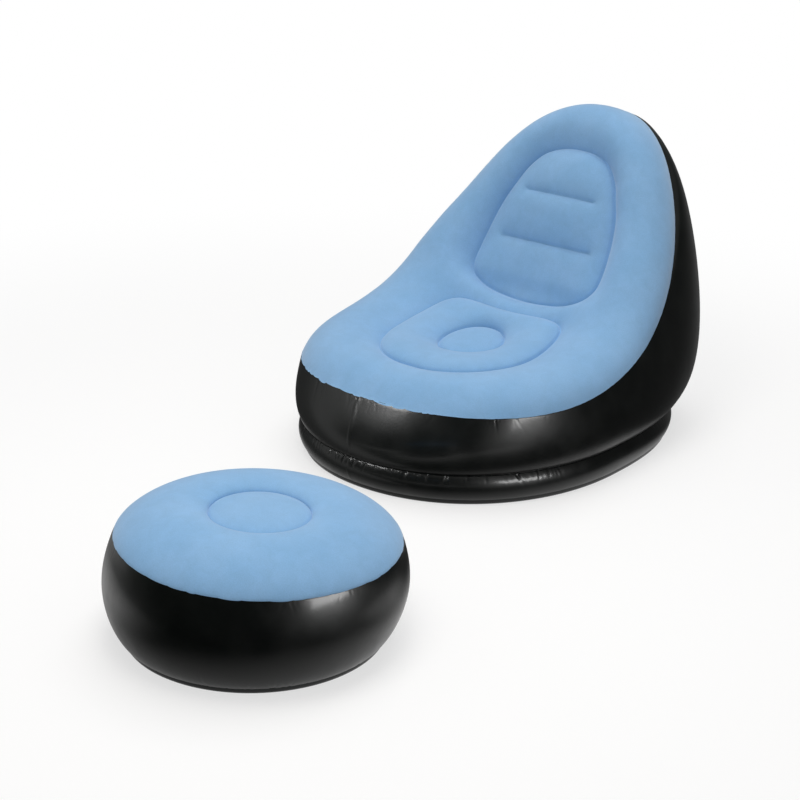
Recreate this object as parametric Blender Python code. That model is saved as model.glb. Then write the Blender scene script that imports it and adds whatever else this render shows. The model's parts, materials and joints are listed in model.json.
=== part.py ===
"""Inflatable lounge chair with a round footstool, built from its welded sheets.

Units are metres and +Z is up. The chair faces -Y and stands on z = 0, with the origin on
the floor under it. Every sheet is its own object, thickened towards the air inside.
"""
import math
from collections import namedtuple

import bmesh
import bpy
from mathutils import Matrix, Vector
from mathutils.bvhtree import BVHTree
from mathutils.geometry import delaunay_2d_cdt

# Sheets and welds
GAP = 0.0003
WALL_SHEET = 0.0005
FLOCKED_SHEET = 0.0010
TIE_SHEET = 0.0005
WELD_WIDTH = 0.008
WELD_THICKNESS = 0.0008
WELD_SETBACK = 0.0007

# Seam between the flocked top and the upper wall of the chair
SEAM_HALF_WIDTH = 0.433
SEAM_CENTRE_Y = -0.070
SEAM_FRONT_REACH = 0.4225
SEAM_REAR_REACH = 0.633
SEAM_LOW_Z = 0.229
SEAM_RISE = 0.560
SEAM_RISE_POWER = 3.48
SEAM_FRONT_EXPONENT = 2.38
SEAM_REAR_EXPONENT = 2.14

# Waist crease between the upper wall and the base wall
WAIST_HALF_WIDTH = 0.4355
WAIST_CENTRE_Y = -0.030
WAIST_FRONT_REACH = 0.505
WAIST_REAR_REACH = 0.517
WAIST_Z = 0.080

# Bottom weld of the chair
FOOT_HALF_WIDTH = 0.4365
FOOT_FRONT_REACH = 0.498
FOOT_REAR_REACH = 0.512
FOOT_Z = 0.013
FOOT_CURL = 0.008
CURL_IN_SHARE = 0.22
CURL_UP_SHARE = 0.30
BASE_FRONT_EXPONENT = 2.1
BASE_REAR_EXPONENT = 2.6

# How far the inflated walls of the chair swell
WALL_LOW_SWELL = 0.017
WALL_HIGH_SWELL = 0.1025
WALL_SWELL_SHARES = (0.15, 0.89)
BASE_SWELL = 0.013
LOW_WALL_POWER = 0.95
HIGH_WALL_POWER = 0.42
UPPER_WALL_PEAK_SHARE = 0.37
BASE_WALL_POWERS = (0.70, 0.70)
BASE_WALL_PEAK_SHARE = 0.5

# Flocked top of the chair: lengths are measured along the sheet from the front seam
MEDIAN_SHARES = [
    (0.0, 0.0), (0.158, 0.070), (0.313, 0.059), (0.391, 0.066), (0.467, 0.095), (0.538, 0.141),
    (0.622, 0.177), (0.656, 0.279), (0.695, 0.429), (0.748, 0.654), (0.831, 0.841), (1.0, 1.0)]
SEAT_PAD_START = 0.171
SEAT_PAD_LENGTH = 0.425
SEAT_PAD_HALF_WIDTH = 0.217
CENTRE_START = 0.327
CENTRE_LENGTH = 0.182
CENTRE_HALF_WIDTH = 0.084
BACK_PAD_START = 0.663
BACK_PAD_LENGTH = 0.450
BACK_PAD_HALF_WIDTH = 0.203
LOWER_SLIT_AT = 0.832
LOWER_SLIT_HALF_LENGTH = 0.136
UPPER_SLIT_AT = 0.970
UPPER_SLIT_HALF_LENGTH = 0.105
SEAT_PAD_SHARES = [
    (0.0, 0.0), (0.30, 0.012), (0.57, 0.07), (0.78, 0.18), (0.93, 0.34), (0.985, 0.52), (0.975, 0.70),
    (0.915, 0.865), (0.80, 0.955), (0.64, 0.988), (0.44, 0.99), (0.22, 0.98), (0.0, 0.975)]
BACK_PAD_SHARES = [
    (0.0, 0.0), (0.45, 0.015), (0.72, 0.04), (0.90, 0.085), (0.99, 0.16), (1.0, 0.26), (0.98, 0.375),
    (0.95, 0.48), (0.89, 0.607), (0.80, 0.72), (0.70, 0.83), (0.53, 0.93), (0.28, 0.985), (0.0, 1.0)]
RIM_FRONT_CROWN = 0.0275
RIM_BACK_CROWN = 0.071
HIP_CROWN = 0.0135
HIP_AT = 0.68
HIP_REACH = 0.16
SEAT_RING_CROWN = 0.022
CENTRE_CROWN = 0.020
BACK_PAD_CROWN = 0.020
PAD_EDGE_ROUND = 0.020
SEAT_CUP = 0.072
LOWER_BACK_CUP = 0.065
UPPER_BACK_CUP = 0.047
CUP_FADE = 0.095
SECTION_POWER = 2.5
WAY_POWER = 1.5
PAD_POWER = 0.60
RIM_POWER = 1.30
CREASE_POWER = 2.2
LEAST_DISTANCE = 0.000001
BROAD_REACH = 0.18
BROAD_STEPS = 9
BROAD_FROM_X = 0.09
BROAD_TO_X = 0.27

# Inner ties of the chair
AIR_HOLE_RADIUS = 0.020
AIR_CUT_LENGTH = 0.050
BASE_TIE_HALF_WIDTH = 0.290
BASE_TIE_HALF_LENGTH = 0.330

# Footstool
STOOL_X = 0.325
STOOL_Y = -1.238
STOOL_SEAM_RADIUS = 0.302
STOOL_SEAM_Z = 0.220
STOOL_FOOT_RADIUS = 0.281
STOOL_FOOT_Z = 0.013
STOOL_FOOT_CURL = 0.008
STOOL_SWELL = 0.031
STOOL_CENTRE_RADIUS = 0.108
STOOL_CENTRE_Z = 0.268
STOOL_RING_CROWN = 0.036
STOOL_CENTRE_CROWN = 0.014
STOOL_WALL_POWERS = (0.70, 0.90)
STOOL_WALL_PEAK_SHARE = 0.48
STOOL_RIM_POWER = 0.85
STOOL_LEAN_DEGREES = 2.5
STOOL_LEAN_TURN_DEGREES = 39.4

# Inflation valve, the same moulding on the chair and on the footstool
VALVE_FLANGE_RADIUS = 0.0200
VALVE_FLANGE_THICKNESS = 0.0012
VALVE_NECK_RADIUS = 0.0135
VALVE_NECK_WALL = 0.0020
VALVE_NECK_STANDOFF = 0.0030
VALVE_NECK_DEPTH = 0.0090
VALVE_PORT_RADIUS = 0.0055
VALVE_LIP_RADIUS = 0.0150
VALVE_LIP_THICKNESS = 0.0018
VALVE_FLAP_RADIUS = 0.0080
VALVE_FLAP_THICKNESS = 0.0008
VALVE_CAP_RADIUS = 0.0090
VALVE_CAP_THICKNESS = 0.0018
VALVE_PLUG_DEPTH = 0.0050
VALVE_PLUG_PLAY = 0.0004
VALVE_PLUG_TAPER = 0.0012
VALVE_HINGE_OFFSET = 0.0130
VALVE_STRAP_WIDTH = 0.0050
VALVE_TAB_LENGTH = 0.0050
VALVE_CUT_LENGTH = 0.030

# How finely the sheets and the valves are divided
CHAIR_STATIONS = 64
UPPER_WALL_ROWS = 9
BASE_WALL_ROWS = 4
CHAIR_VALVE_ROW_COUNT = 2
TOP_MESH_STEP = 0.047
MESH_CLEAR_SHARE = 0.55
WELD_RING_OFFSET = 0.016
SEAT_PAD_POINTS = 28
CENTRE_POINTS = 16
BACK_PAD_POINTS = 30
SLIT_POINTS = 6
BASE_TIE_POINTS = 32
STOOL_STATIONS = 36
STOOL_RING_SHARES = (0.0, 0.06, 0.18, 0.36, 0.56, 0.76, 0.90, 1.0)
STOOL_CENTRE_SHARES = (0.14, 0.40, 0.70)
STOOL_WALL_SHARES = (0.0, 0.05, 0.17, 0.35, 0.62, 0.83, 1.0)
STOOL_VALVE_ROW_COUNT = 3
TURNED_STEPS = 24
CAP_ARC_STEPS = 10
MERGE_DISTANCE = 1.0e-6
CDT_EPSILON = 1.0e-7

Outline = namedtuple("Outline", "half_width centre_y front_reach rear_reach front_exponent rear_exponent")
SEAM = Outline(SEAM_HALF_WIDTH, SEAM_CENTRE_Y, SEAM_FRONT_REACH, SEAM_REAR_REACH,
               SEAM_FRONT_EXPONENT, SEAM_REAR_EXPONENT)
WAIST = Outline(WAIST_HALF_WIDTH, WAIST_CENTRE_Y, WAIST_FRONT_REACH, WAIST_REAR_REACH,
                BASE_FRONT_EXPONENT, BASE_REAR_EXPONENT)
FOOT = Outline(FOOT_HALF_WIDTH, WAIST_CENTRE_Y, FOOT_FRONT_REACH, FOOT_REAR_REACH,
               BASE_FRONT_EXPONENT, BASE_REAR_EXPONENT)
UP = Vector((0.0, 0.0, 1.0))


def clear_scene():
    for item in list(bpy.data.objects):
        bpy.data.objects.remove(item, do_unlink=True)


def make_material(name, colour, roughness):
    material = bpy.data.materials.new(name)
    material.use_nodes = True
    shader = material.node_tree.nodes["Principled BSDF"]
    shader.inputs["Base Color"].default_value = (*colour, 1.0)
    shader.inputs["Roughness"].default_value = roughness
    shader.inputs["Metallic"].default_value = 0.0
    return material


def object_from_bmesh(name, bm, finish, smooth_angle=40.0):
    mesh = bpy.data.meshes.new(name)
    bm.to_mesh(mesh)
    bm.free()
    mesh.shade_smooth()
    mesh.set_sharp_from_angle(angle=math.radians(smooth_angle))
    colour, roughness = finish
    mesh.materials.append(make_material(name, colour, roughness))
    item = bpy.data.objects.new(name, mesh)
    bpy.context.scene.collection.objects.link(item)
    return item


BLUE_FLOCK = ((0.24, 0.43, 0.66), 0.9)
BLACK_PVC = ((0.012, 0.013, 0.014), 0.35)
CLEAR_PVC = ((0.55, 0.57, 0.58), 0.3)
VALVE_VINYL = ((0.03, 0.03, 0.032), 0.45)


# Plan outlines

def signed_power(value, power):
    return math.copysign(abs(value) ** power, value)


def smooth_step(value, low, high):
    t = min(max((value - low) / (high - low), 0.0), 1.0)
    return t * t * (3.0 - 2.0 * t)


def turns(count):
    """Angles round an outline, half a step off the rear so that a flat face is centred there."""
    return [(i + 0.5) * 2.0 * math.pi / count for i in range(count)]


def outline_point(turn, outline, z):
    """Point and outward direction; turn runs counterclockwise from the rear."""
    side, along = -math.sin(turn), math.cos(turn)
    rear = along > 0.0
    reach = outline.rear_reach if rear else outline.front_reach
    exponent = outline.rear_exponent if rear else outline.front_exponent
    point = Vector((outline.half_width * signed_power(side, 2.0 / exponent),
                    outline.centre_y + reach * signed_power(along, 2.0 / exponent), z))
    steep = 2.0 * (exponent - 1.0) / exponent
    outward = Vector((signed_power(side, steep) / outline.half_width,
                      signed_power(along, steep) / reach, 0.0)).normalized()
    return point, outward


def seam_point(turn):
    point, outward = outline_point(turn, SEAM, 0.0)
    front = SEAM_CENTRE_Y - SEAM_FRONT_REACH
    share = max(point.y - front, 0.0) / (SEAM_FRONT_REACH + SEAM_REAR_REACH)
    point.z = SEAM_LOW_Z + SEAM_RISE * share ** SEAM_RISE_POWER
    return point, outward


# Walls

def swell_shape(share, low_power, high_power, peak_share):
    """Height of an inflated profile, 0 at both welds and 1 at its fullest."""
    moved = share ** (math.log(0.5) / math.log(peak_share))
    power = low_power if moved < 0.5 else high_power
    return math.sin(math.pi * moved) ** power


def wall_point(low, high, outward, share, swell, powers, peak_share):
    """Point on a wall that swells square to the straight line between its two welds."""
    chord = high - low
    lean = chord.dot(outward)
    square = (outward * chord.z - UP * lean).normalized()
    return low + chord * share + square * (swell * swell_shape(share, *powers, peak_share))


def upper_wall_point(turn, share):
    low, low_out = outline_point(turn, WAIST, WAIST_Z)
    high, high_out = seam_point(turn)
    tallness = (high.z - low.z) / (SEAM_LOW_Z + SEAM_RISE - WAIST_Z)
    fullness = smooth_step(tallness, *WALL_SWELL_SHARES)
    swell = WALL_LOW_SWELL + (WALL_HIGH_SWELL - WALL_LOW_SWELL) * fullness
    power = LOW_WALL_POWER + (HIGH_WALL_POWER - LOW_WALL_POWER) * fullness
    return wall_point(low, high, (low_out + high_out).normalized(), share, swell, (power, power),
                      UPPER_WALL_PEAK_SHARE)


def base_wall_point(turn, share):
    low, low_out = outline_point(turn, FOOT, FOOT_Z)
    high, high_out = outline_point(turn, WAIST, WAIST_Z)
    return wall_point(low, high, (low_out + high_out).normalized(), share, BASE_SWELL,
                      BASE_WALL_POWERS, BASE_WALL_PEAK_SHARE)


# Flocked top of the chair

def curve_through(points, steps):
    """Smooth curve through points, as a list of points with steps on each span."""
    ends = [points[0] * 2.0 - points[1]] + points + [points[-1] * 2.0 - points[-2]]
    result = []
    for i in range(1, len(ends) - 2):
        before, start, stop, after = ends[i - 1:i + 3]
        for k in range(steps):
            t = k / steps
            result.append(0.5 * (2.0 * start + (stop - before) * t
                                 + (2.0 * before - 5.0 * start + 4.0 * stop - after) * t * t
                                 + (3.0 * start - before - 3.0 * stop + after) * t ** 3))
    result.append(points[-1].copy())
    return result


class MedianLine:
    """Line down the middle of the flocked top, read by its length from the front seam."""

    def __init__(self):
        front, _ = seam_point(math.pi)
        rear, _ = seam_point(0.0)
        points = [Vector((front.y + (rear.y - front.y) * y_share, front.z + (rear.z - front.z) * z_share))
                  for y_share, z_share in MEDIAN_SHARES]
        self.points = curve_through(points, 12)
        self.lengths = [0.0]
        for a, b in zip(self.points, self.points[1:]):
            self.lengths.append(self.lengths[-1] + (b - a).length)
        self.total = self.lengths[-1]
        reach = 14
        self.tangents = []
        for i in range(len(self.points)):
            low, high = max(0, i - reach), min(len(self.points) - 1, i + reach)
            self.tangents.append((self.points[high] - self.points[low]).normalized())

    def at(self, length):
        """Point and direction, both as (y, z)."""
        length = min(max(length, 0.0), self.total)
        low, high = 0, len(self.lengths) - 1
        while high - low > 1:
            middle = (low + high) // 2
            if self.lengths[middle] <= length:
                low = middle
            else:
                high = middle
        part = (length - self.lengths[low]) / (self.lengths[high] - self.lengths[low])
        return (self.points[low].lerp(self.points[high], part),
                self.tangents[low].lerp(self.tangents[high], part).normalized())

    def broad_at(self, length):
        """Point and direction of the line with its bends eased, as the rims at the sides follow it."""
        point, way, total = Vector((0.0, 0.0)), Vector((0.0, 0.0)), 0.0
        for i in range(BROAD_STEPS):
            share = 2.0 * (i + 1) / (BROAD_STEPS + 1) - 1.0
            weight = 1.0 - abs(share)
            there = length + share * BROAD_REACH
            near, tangent = self.at(there)
            beyond = there - min(max(there, 0.0), self.total)
            point += (near + tangent * beyond) * weight
            way += tangent * weight
            total += weight
        return point / total, way.normalized()


MEDIAN = MedianLine()


def ahead_of(turn, length):
    """How far the seam at turn lies ahead of the cross section at a median length."""
    point, tangent = MEDIAN.at(length)
    seam, _ = seam_point(turn)
    return (Vector((seam.y, seam.z)) - point).dot(tangent)


def bisect(function, low, high):
    """Value where a function that rises from low to high passes zero."""
    for _ in range(40):
        middle = 0.5 * (low + high)
        if function(middle) < 0.0:
            low = middle
        else:
            high = middle
    return 0.5 * (low + high)


def seam_length(turn):
    """Median length of the cross section that meets the seam at turn."""
    return bisect(lambda length: -ahead_of(turn, length), 0.0, MEDIAN.total)


def seam_turn(length):
    """Turn, between rear and front, where a cross section meets the seam."""
    return bisect(lambda turn: -ahead_of(turn, length), 0.0, math.pi)


def mirrored_outline(shares, start, length, half_width, count):
    """Closed outline on the sheet from one half's shares, evenly spaced."""
    half = [Vector((x_share * half_width, start + y_share * length)) for x_share, y_share in shares]
    loop = half + [Vector((-p.x, p.y)) for p in reversed(half[1:-1])]
    closed = [loop[-1]] + loop + [loop[0], loop[1]]
    dense = curve_through(closed, 8)[8:-8]
    return even_points(dense, count)


def even_points(line, count):
    """Evenly spaced points round a closed line whose first point is repeated at its end."""
    lengths = [0.0]
    for a, b in zip(line, line[1:]):
        lengths.append(lengths[-1] + (b - a).length)
    result = []
    index = 0
    for i in range(count):
        want = lengths[-1] * i / count
        while lengths[index + 1] < want:
            index += 1
        part = (want - lengths[index]) / (lengths[index + 1] - lengths[index])
        result.append(line[index].lerp(line[index + 1], part))
    return result


def distance_to_line(point, line, closed):
    best = 1.0e9
    pairs = list(zip(line, line[1:] + line[:1])) if closed else list(zip(line, line[1:]))
    for a, b in pairs:
        span = b - a
        t = min(max((point - a).dot(span) / span.length_squared, 0.0), 1.0)
        best = min(best, (point - a - span * t).length)
    return best


def inside(point, loop):
    result = False
    for a, b in zip(loop, loop[1:] + loop[:1]):
        if (a.y > point.y) != (b.y > point.y):
            if point.x < a.x + (b.x - a.x) * (point.y - a.y) / (b.y - a.y):
                result = not result
    return result


def offset_loop(loop, outward):
    """Points of a counterclockwise loop moved square to it."""
    result = []
    for before, point, after in zip(loop[-1:] + loop[:-1], loop, loop[1:] + loop[:1]):
        along = (after - before).normalized()
        result.append(point + Vector((along.y, -along.x)) * outward)
    return result


def far_from(point, others, least):
    return all((point - other).length > least for other in others)


def pillow(share, power):
    """Height between two welds, 0 at shares 0 and 1, and 1 half way."""
    share = min(max(share, 0.0), 1.0)
    return (4.0 * share * (1.0 - share)) ** power


def blended_least(first, second):
    """Nearly the smaller of two distances, without a crease where they are the same."""
    first, second = max(first, LEAST_DISTANCE), max(second, LEAST_DISTANCE)
    return (first ** -CREASE_POWER + second ** -CREASE_POWER) ** (-1.0 / CREASE_POWER)


class FlockedTop:
    """Flocked top sheet of the chair, drawn flat as (across, length) and then shaped."""

    def __init__(self):
        self.turns = turns(CHAIR_STATIONS)
        self.edge = [Vector((seam_point(turn)[0].x, seam_length(turn))) for turn in self.turns]
        self.seat_pad = mirrored_outline(SEAT_PAD_SHARES, SEAT_PAD_START, SEAT_PAD_LENGTH,
                                         SEAT_PAD_HALF_WIDTH, SEAT_PAD_POINTS)
        middle = CENTRE_START + 0.5 * CENTRE_LENGTH
        self.centre = [Vector((CENTRE_HALF_WIDTH * math.sin(turn),
                               middle - 0.5 * CENTRE_LENGTH * math.cos(turn)))
                       for turn in (2.0 * math.pi * i / CENTRE_POINTS for i in range(CENTRE_POINTS))]
        self.back_pad = mirrored_outline(BACK_PAD_SHARES, BACK_PAD_START, BACK_PAD_LENGTH,
                                         BACK_PAD_HALF_WIDTH, BACK_PAD_POINTS)
        self.slits = [[Vector((half * (2.0 * i / (SLIT_POINTS - 1) - 1.0), at)) for i in range(SLIT_POINTS)]
                      for half, at in ((LOWER_SLIT_HALF_LENGTH, LOWER_SLIT_AT),
                                       (UPPER_SLIT_HALF_LENGTH, UPPER_SLIT_AT))]

    def backness(self, length):
        """Share of the way from the seat, 0, to the back, 1."""
        return smooth_step(length, CENTRE_START + CENTRE_LENGTH, LOWER_SLIT_AT)

    def crown(self, flat, edge_distance):
        """How far the sheet swells off its welds."""
        if inside(flat, self.centre):
            depth = distance_to_line(flat, self.centre, True) / CENTRE_HALF_WIDTH
            return CENTRE_CROWN * pillow(0.5 * min(depth, 1.0), PAD_POWER)
        if inside(flat, self.seat_pad):
            outer = distance_to_line(flat, self.seat_pad, True)
            inner = distance_to_line(flat, self.centre, True)
            return SEAT_RING_CROWN * pillow(outer / (outer + inner), PAD_POWER)
        if inside(flat, self.back_pad):
            height = BACK_PAD_CROWN
            for line, closed in ((self.back_pad, True), (self.slits[0], False), (self.slits[1], False)):
                height *= 1.0 - math.exp(-distance_to_line(flat, line, closed) / PAD_EDGE_ROUND)
            return height
        pads = blended_least(distance_to_line(flat, self.seat_pad, True),
                             distance_to_line(flat, self.back_pad, True))
        share = edge_distance / (edge_distance + pads)
        height = RIM_FRONT_CROWN + (RIM_BACK_CROWN - RIM_FRONT_CROWN) * self.backness(flat.y)
        height += HIP_CROWN * math.exp(-((flat.y - HIP_AT) / HIP_REACH) ** 2)
        return height * pillow(share, RIM_POWER if share < 0.5 else PAD_POWER)

    def shaped(self, flat):
        """Point of the swollen sheet above a flat point."""
        edge_distance = distance_to_line(flat, self.edge, True)
        median, tangent = MEDIAN.at(flat.y)
        broad, broad_tangent = MEDIAN.broad_at(flat.y)
        spread = smooth_step(abs(flat.x), BROAD_FROM_X, BROAD_TO_X)
        median, tangent = median.lerp(broad, spread), tangent.lerp(broad_tangent, spread).normalized()
        seam, outward = seam_point(seam_turn(flat.y))
        across = min(abs(flat.x) / abs(seam.x), 1.0) ** SECTION_POWER
        point = median.lerp(Vector((seam.y, seam.z)), across)
        cup = SEAT_CUP + (LOWER_BACK_CUP - SEAT_CUP) * self.backness(flat.y)
        cup += (UPPER_BACK_CUP - cup) * smooth_step(flat.y, BACK_PAD_START, UPPER_SLIT_AT)
        lift = cup * (flat.x / SEAM_HALF_WIDTH) ** 2 * (1.0 - math.exp(-edge_distance / CUP_FADE))
        lift += self.crown(flat, edge_distance)
        outward.x = abs(outward.x) * (1.0 if flat.x > 0.0 else -1.0)
        turned_out = across ** WAY_POWER
        way = Vector((0.0, -tangent.y, tangent.x)).lerp((outward + UP).normalized(), turned_out).normalized()
        return Vector((flat.x, point.x, point.y)) + way * lift

    def flat_points(self):
        """Points of the flat sheet and the lines between them that the mesh keeps."""
        points, lines = [], []
        for loop in (self.edge, self.seat_pad, self.centre, self.back_pad):
            start = len(points)
            points.extend(loop)
            lines.extend((start + i, start + (i + 1) % len(loop)) for i in range(len(loop)))
        for slit in self.slits:
            start = len(points)
            points.extend(slit)
            lines.extend((start + i, start + i + 1) for i in range(len(slit) - 1))
        for loop in (self.seat_pad, self.centre, self.back_pad):
            points.extend(point for side in (1.0, -1.0) for point in offset_loop(loop, side * WELD_RING_OFFSET)
                          if far_from(point, points, 0.5 * WELD_RING_OFFSET))
        fixed = list(points)
        row_step = TOP_MESH_STEP * math.sqrt(0.75)
        rows = int(MEDIAN.total / row_step)
        columns = int(SEAM_HALF_WIDTH / TOP_MESH_STEP) + 1
        for row in range(1, rows + 1):
            for column in range(-columns, columns + 1):
                flat = Vector(((column + 0.5 * (row % 2)) * TOP_MESH_STEP, row * row_step))
                if not inside(flat, self.edge):
                    continue
                if far_from(flat, fixed, MESH_CLEAR_SHARE * TOP_MESH_STEP):
                    points.append(flat)
        return points, lines


# Sheets as thin closed solids

def thick_sheet(name, points, faces, thickness, finish, edge_ways=None):
    """Closed solid of a sheet whose outer face is given, and its inner points with their inward ways."""
    bm = bmesh.new()
    outer = [bm.verts.new(point) for point in points]
    for face in faces:
        bm.faces.new([outer[i] for i in face])
    bm.normal_update()
    borders = [edge for edge in bm.edges if edge.is_boundary]
    edge_ways = edge_ways or {}
    ways = [edge_ways.get(i, -vert.normal).copy() for i, vert in enumerate(outer)]
    inner_points = [vert.co + way * thickness for vert, way in zip(outer, ways)]
    inner = [bm.verts.new(point) for point in inner_points]
    twin = dict(zip(outer, inner))
    border_pairs = []
    for edge in borders:
        loop = edge.link_loops[0]
        border_pairs.append((loop.vert, loop.link_loop_next.vert))
    for face in list(bm.faces):
        bm.faces.new([twin[vert] for vert in reversed(face.verts)])
    for start, stop in border_pairs:
        bm.faces.new([stop, start, twin[start]])
        bm.faces.new([stop, twin[start], twin[stop]])
    return object_from_bmesh(name, bm, finish), list(zip(inner_points, ways))


def ring_rows(rows, start=0):
    """Triangles between closed rows of points, each row given counterclockwise and going up."""
    count = len(rows[0])
    faces = []
    for j in range(len(rows) - 1):
        for i in range(count):
            low, low_next = start + j * count + i, start + j * count + (i + 1) % count
            high, high_next = low + count, low_next + count
            faces.extend([(low, low_next, high_next), (low, high_next, high)])
    return faces


def weld_band(name, points, inwards, acrosses, start, finish):
    """Band of fused margins behind a seam; start is its distance from the seam line."""
    bm = bmesh.new()
    rings = []
    for point, inward, across in zip(points, inwards, acrosses):
        near, far = point + inward * start, point + inward * (start + WELD_WIDTH)
        half = across * (0.5 * WELD_THICKNESS)
        rings.append([bm.verts.new(corner) for corner in (near - half, far - half, far + half, near + half)])
    for ring, following in zip(rings, rings[1:] + rings[:1]):
        for k in range(4):
            corners = (ring[k], ring[(k + 1) % 4], following[(k + 1) % 4], following[k])
            bm.faces.new([corners[0], corners[1], corners[2]])
            bm.faces.new([corners[0], corners[2], corners[3]])
    bmesh.ops.recalc_face_normals(bm, faces=bm.faces)
    return object_from_bmesh(name, bm, finish)


def tie_band(name, near_line, far_line, plane_normal, closed, finish):
    """Upright sheet between two matching lines; its thickness lies square to the near line."""
    bm = bmesh.new()
    count = len(near_line)
    stations = []
    for i, (near, far) in enumerate(zip(near_line, far_line)):
        before = near_line[i - 1] if closed or i else near
        after = near_line[(i + 1) % count] if closed or i < count - 1 else near
        along = after - before
        along -= plane_normal * along.dot(plane_normal)
        half = along.cross(plane_normal).normalized() * (0.5 * TIE_SHEET)
        stations.append([bm.verts.new(corner) for corner in (near - half, far - half, far + half, near + half)])
    pairs = list(zip(stations, stations[1:] + stations[:1])) if closed else list(zip(stations, stations[1:]))
    for ring, following in pairs:
        for k in range(4):
            corners = (ring[k], ring[(k + 1) % 4], following[(k + 1) % 4], following[k])
            bm.faces.new([corners[0], corners[1], corners[2]])
            bm.faces.new([corners[0], corners[2], corners[3]])
    if not closed:
        bm.faces.new(stations[0])
        bm.faces.new(list(reversed(stations[-1])))
    bmesh.ops.recalc_face_normals(bm, faces=bm.faces)
    return object_from_bmesh(name, bm, finish)


def tie_edge(under, way):
    """Line just clear of the sheet above a tie that leaves it along way."""
    line = []
    for point, inward in under:
        cosine = inward.dot(way)
        sine = math.sqrt(max(1.0 - cosine * cosine, 0.0))
        line.append(point + way * ((GAP + 0.5 * TIE_SHEET * sine) / cosine))
    return line


def hide_cutter(cutter):
    cutter.hide_render = True
    cutter.display_type = "WIRE"


def round_cutter(name, middle, way, radius, length):
    """Round cutting tool along way."""
    bpy.ops.mesh.primitive_cylinder_add(vertices=TURNED_STEPS, radius=radius, depth=length, location=middle,
                                        rotation=way.to_track_quat("Z", "Y").to_euler())
    cutter = bpy.context.object
    cutter.name = name
    hide_cutter(cutter)
    return cutter


def cut(item, cutter):
    modifier = item.modifiers.new(cutter.name, "BOOLEAN")
    modifier.operation = "DIFFERENCE"
    modifier.object = cutter
    modifier.solver = "EXACT"


def flat_disc(name, loop, thickness, finish):
    """Level sheet whose lower face has the given outline."""
    bm = bmesh.new()
    face = bm.faces.new([bm.verts.new(point) for point in loop])
    lifted = bmesh.ops.extrude_face_region(bm, geom=[face])
    moved = [item for item in lifted["geom"] if isinstance(item, bmesh.types.BMVert)]
    bmesh.ops.translate(bm, verts=moved, vec=UP * thickness)
    bmesh.ops.recalc_face_normals(bm, faces=bm.faces)
    return object_from_bmesh(name, bm, finish)


# Chair

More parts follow.
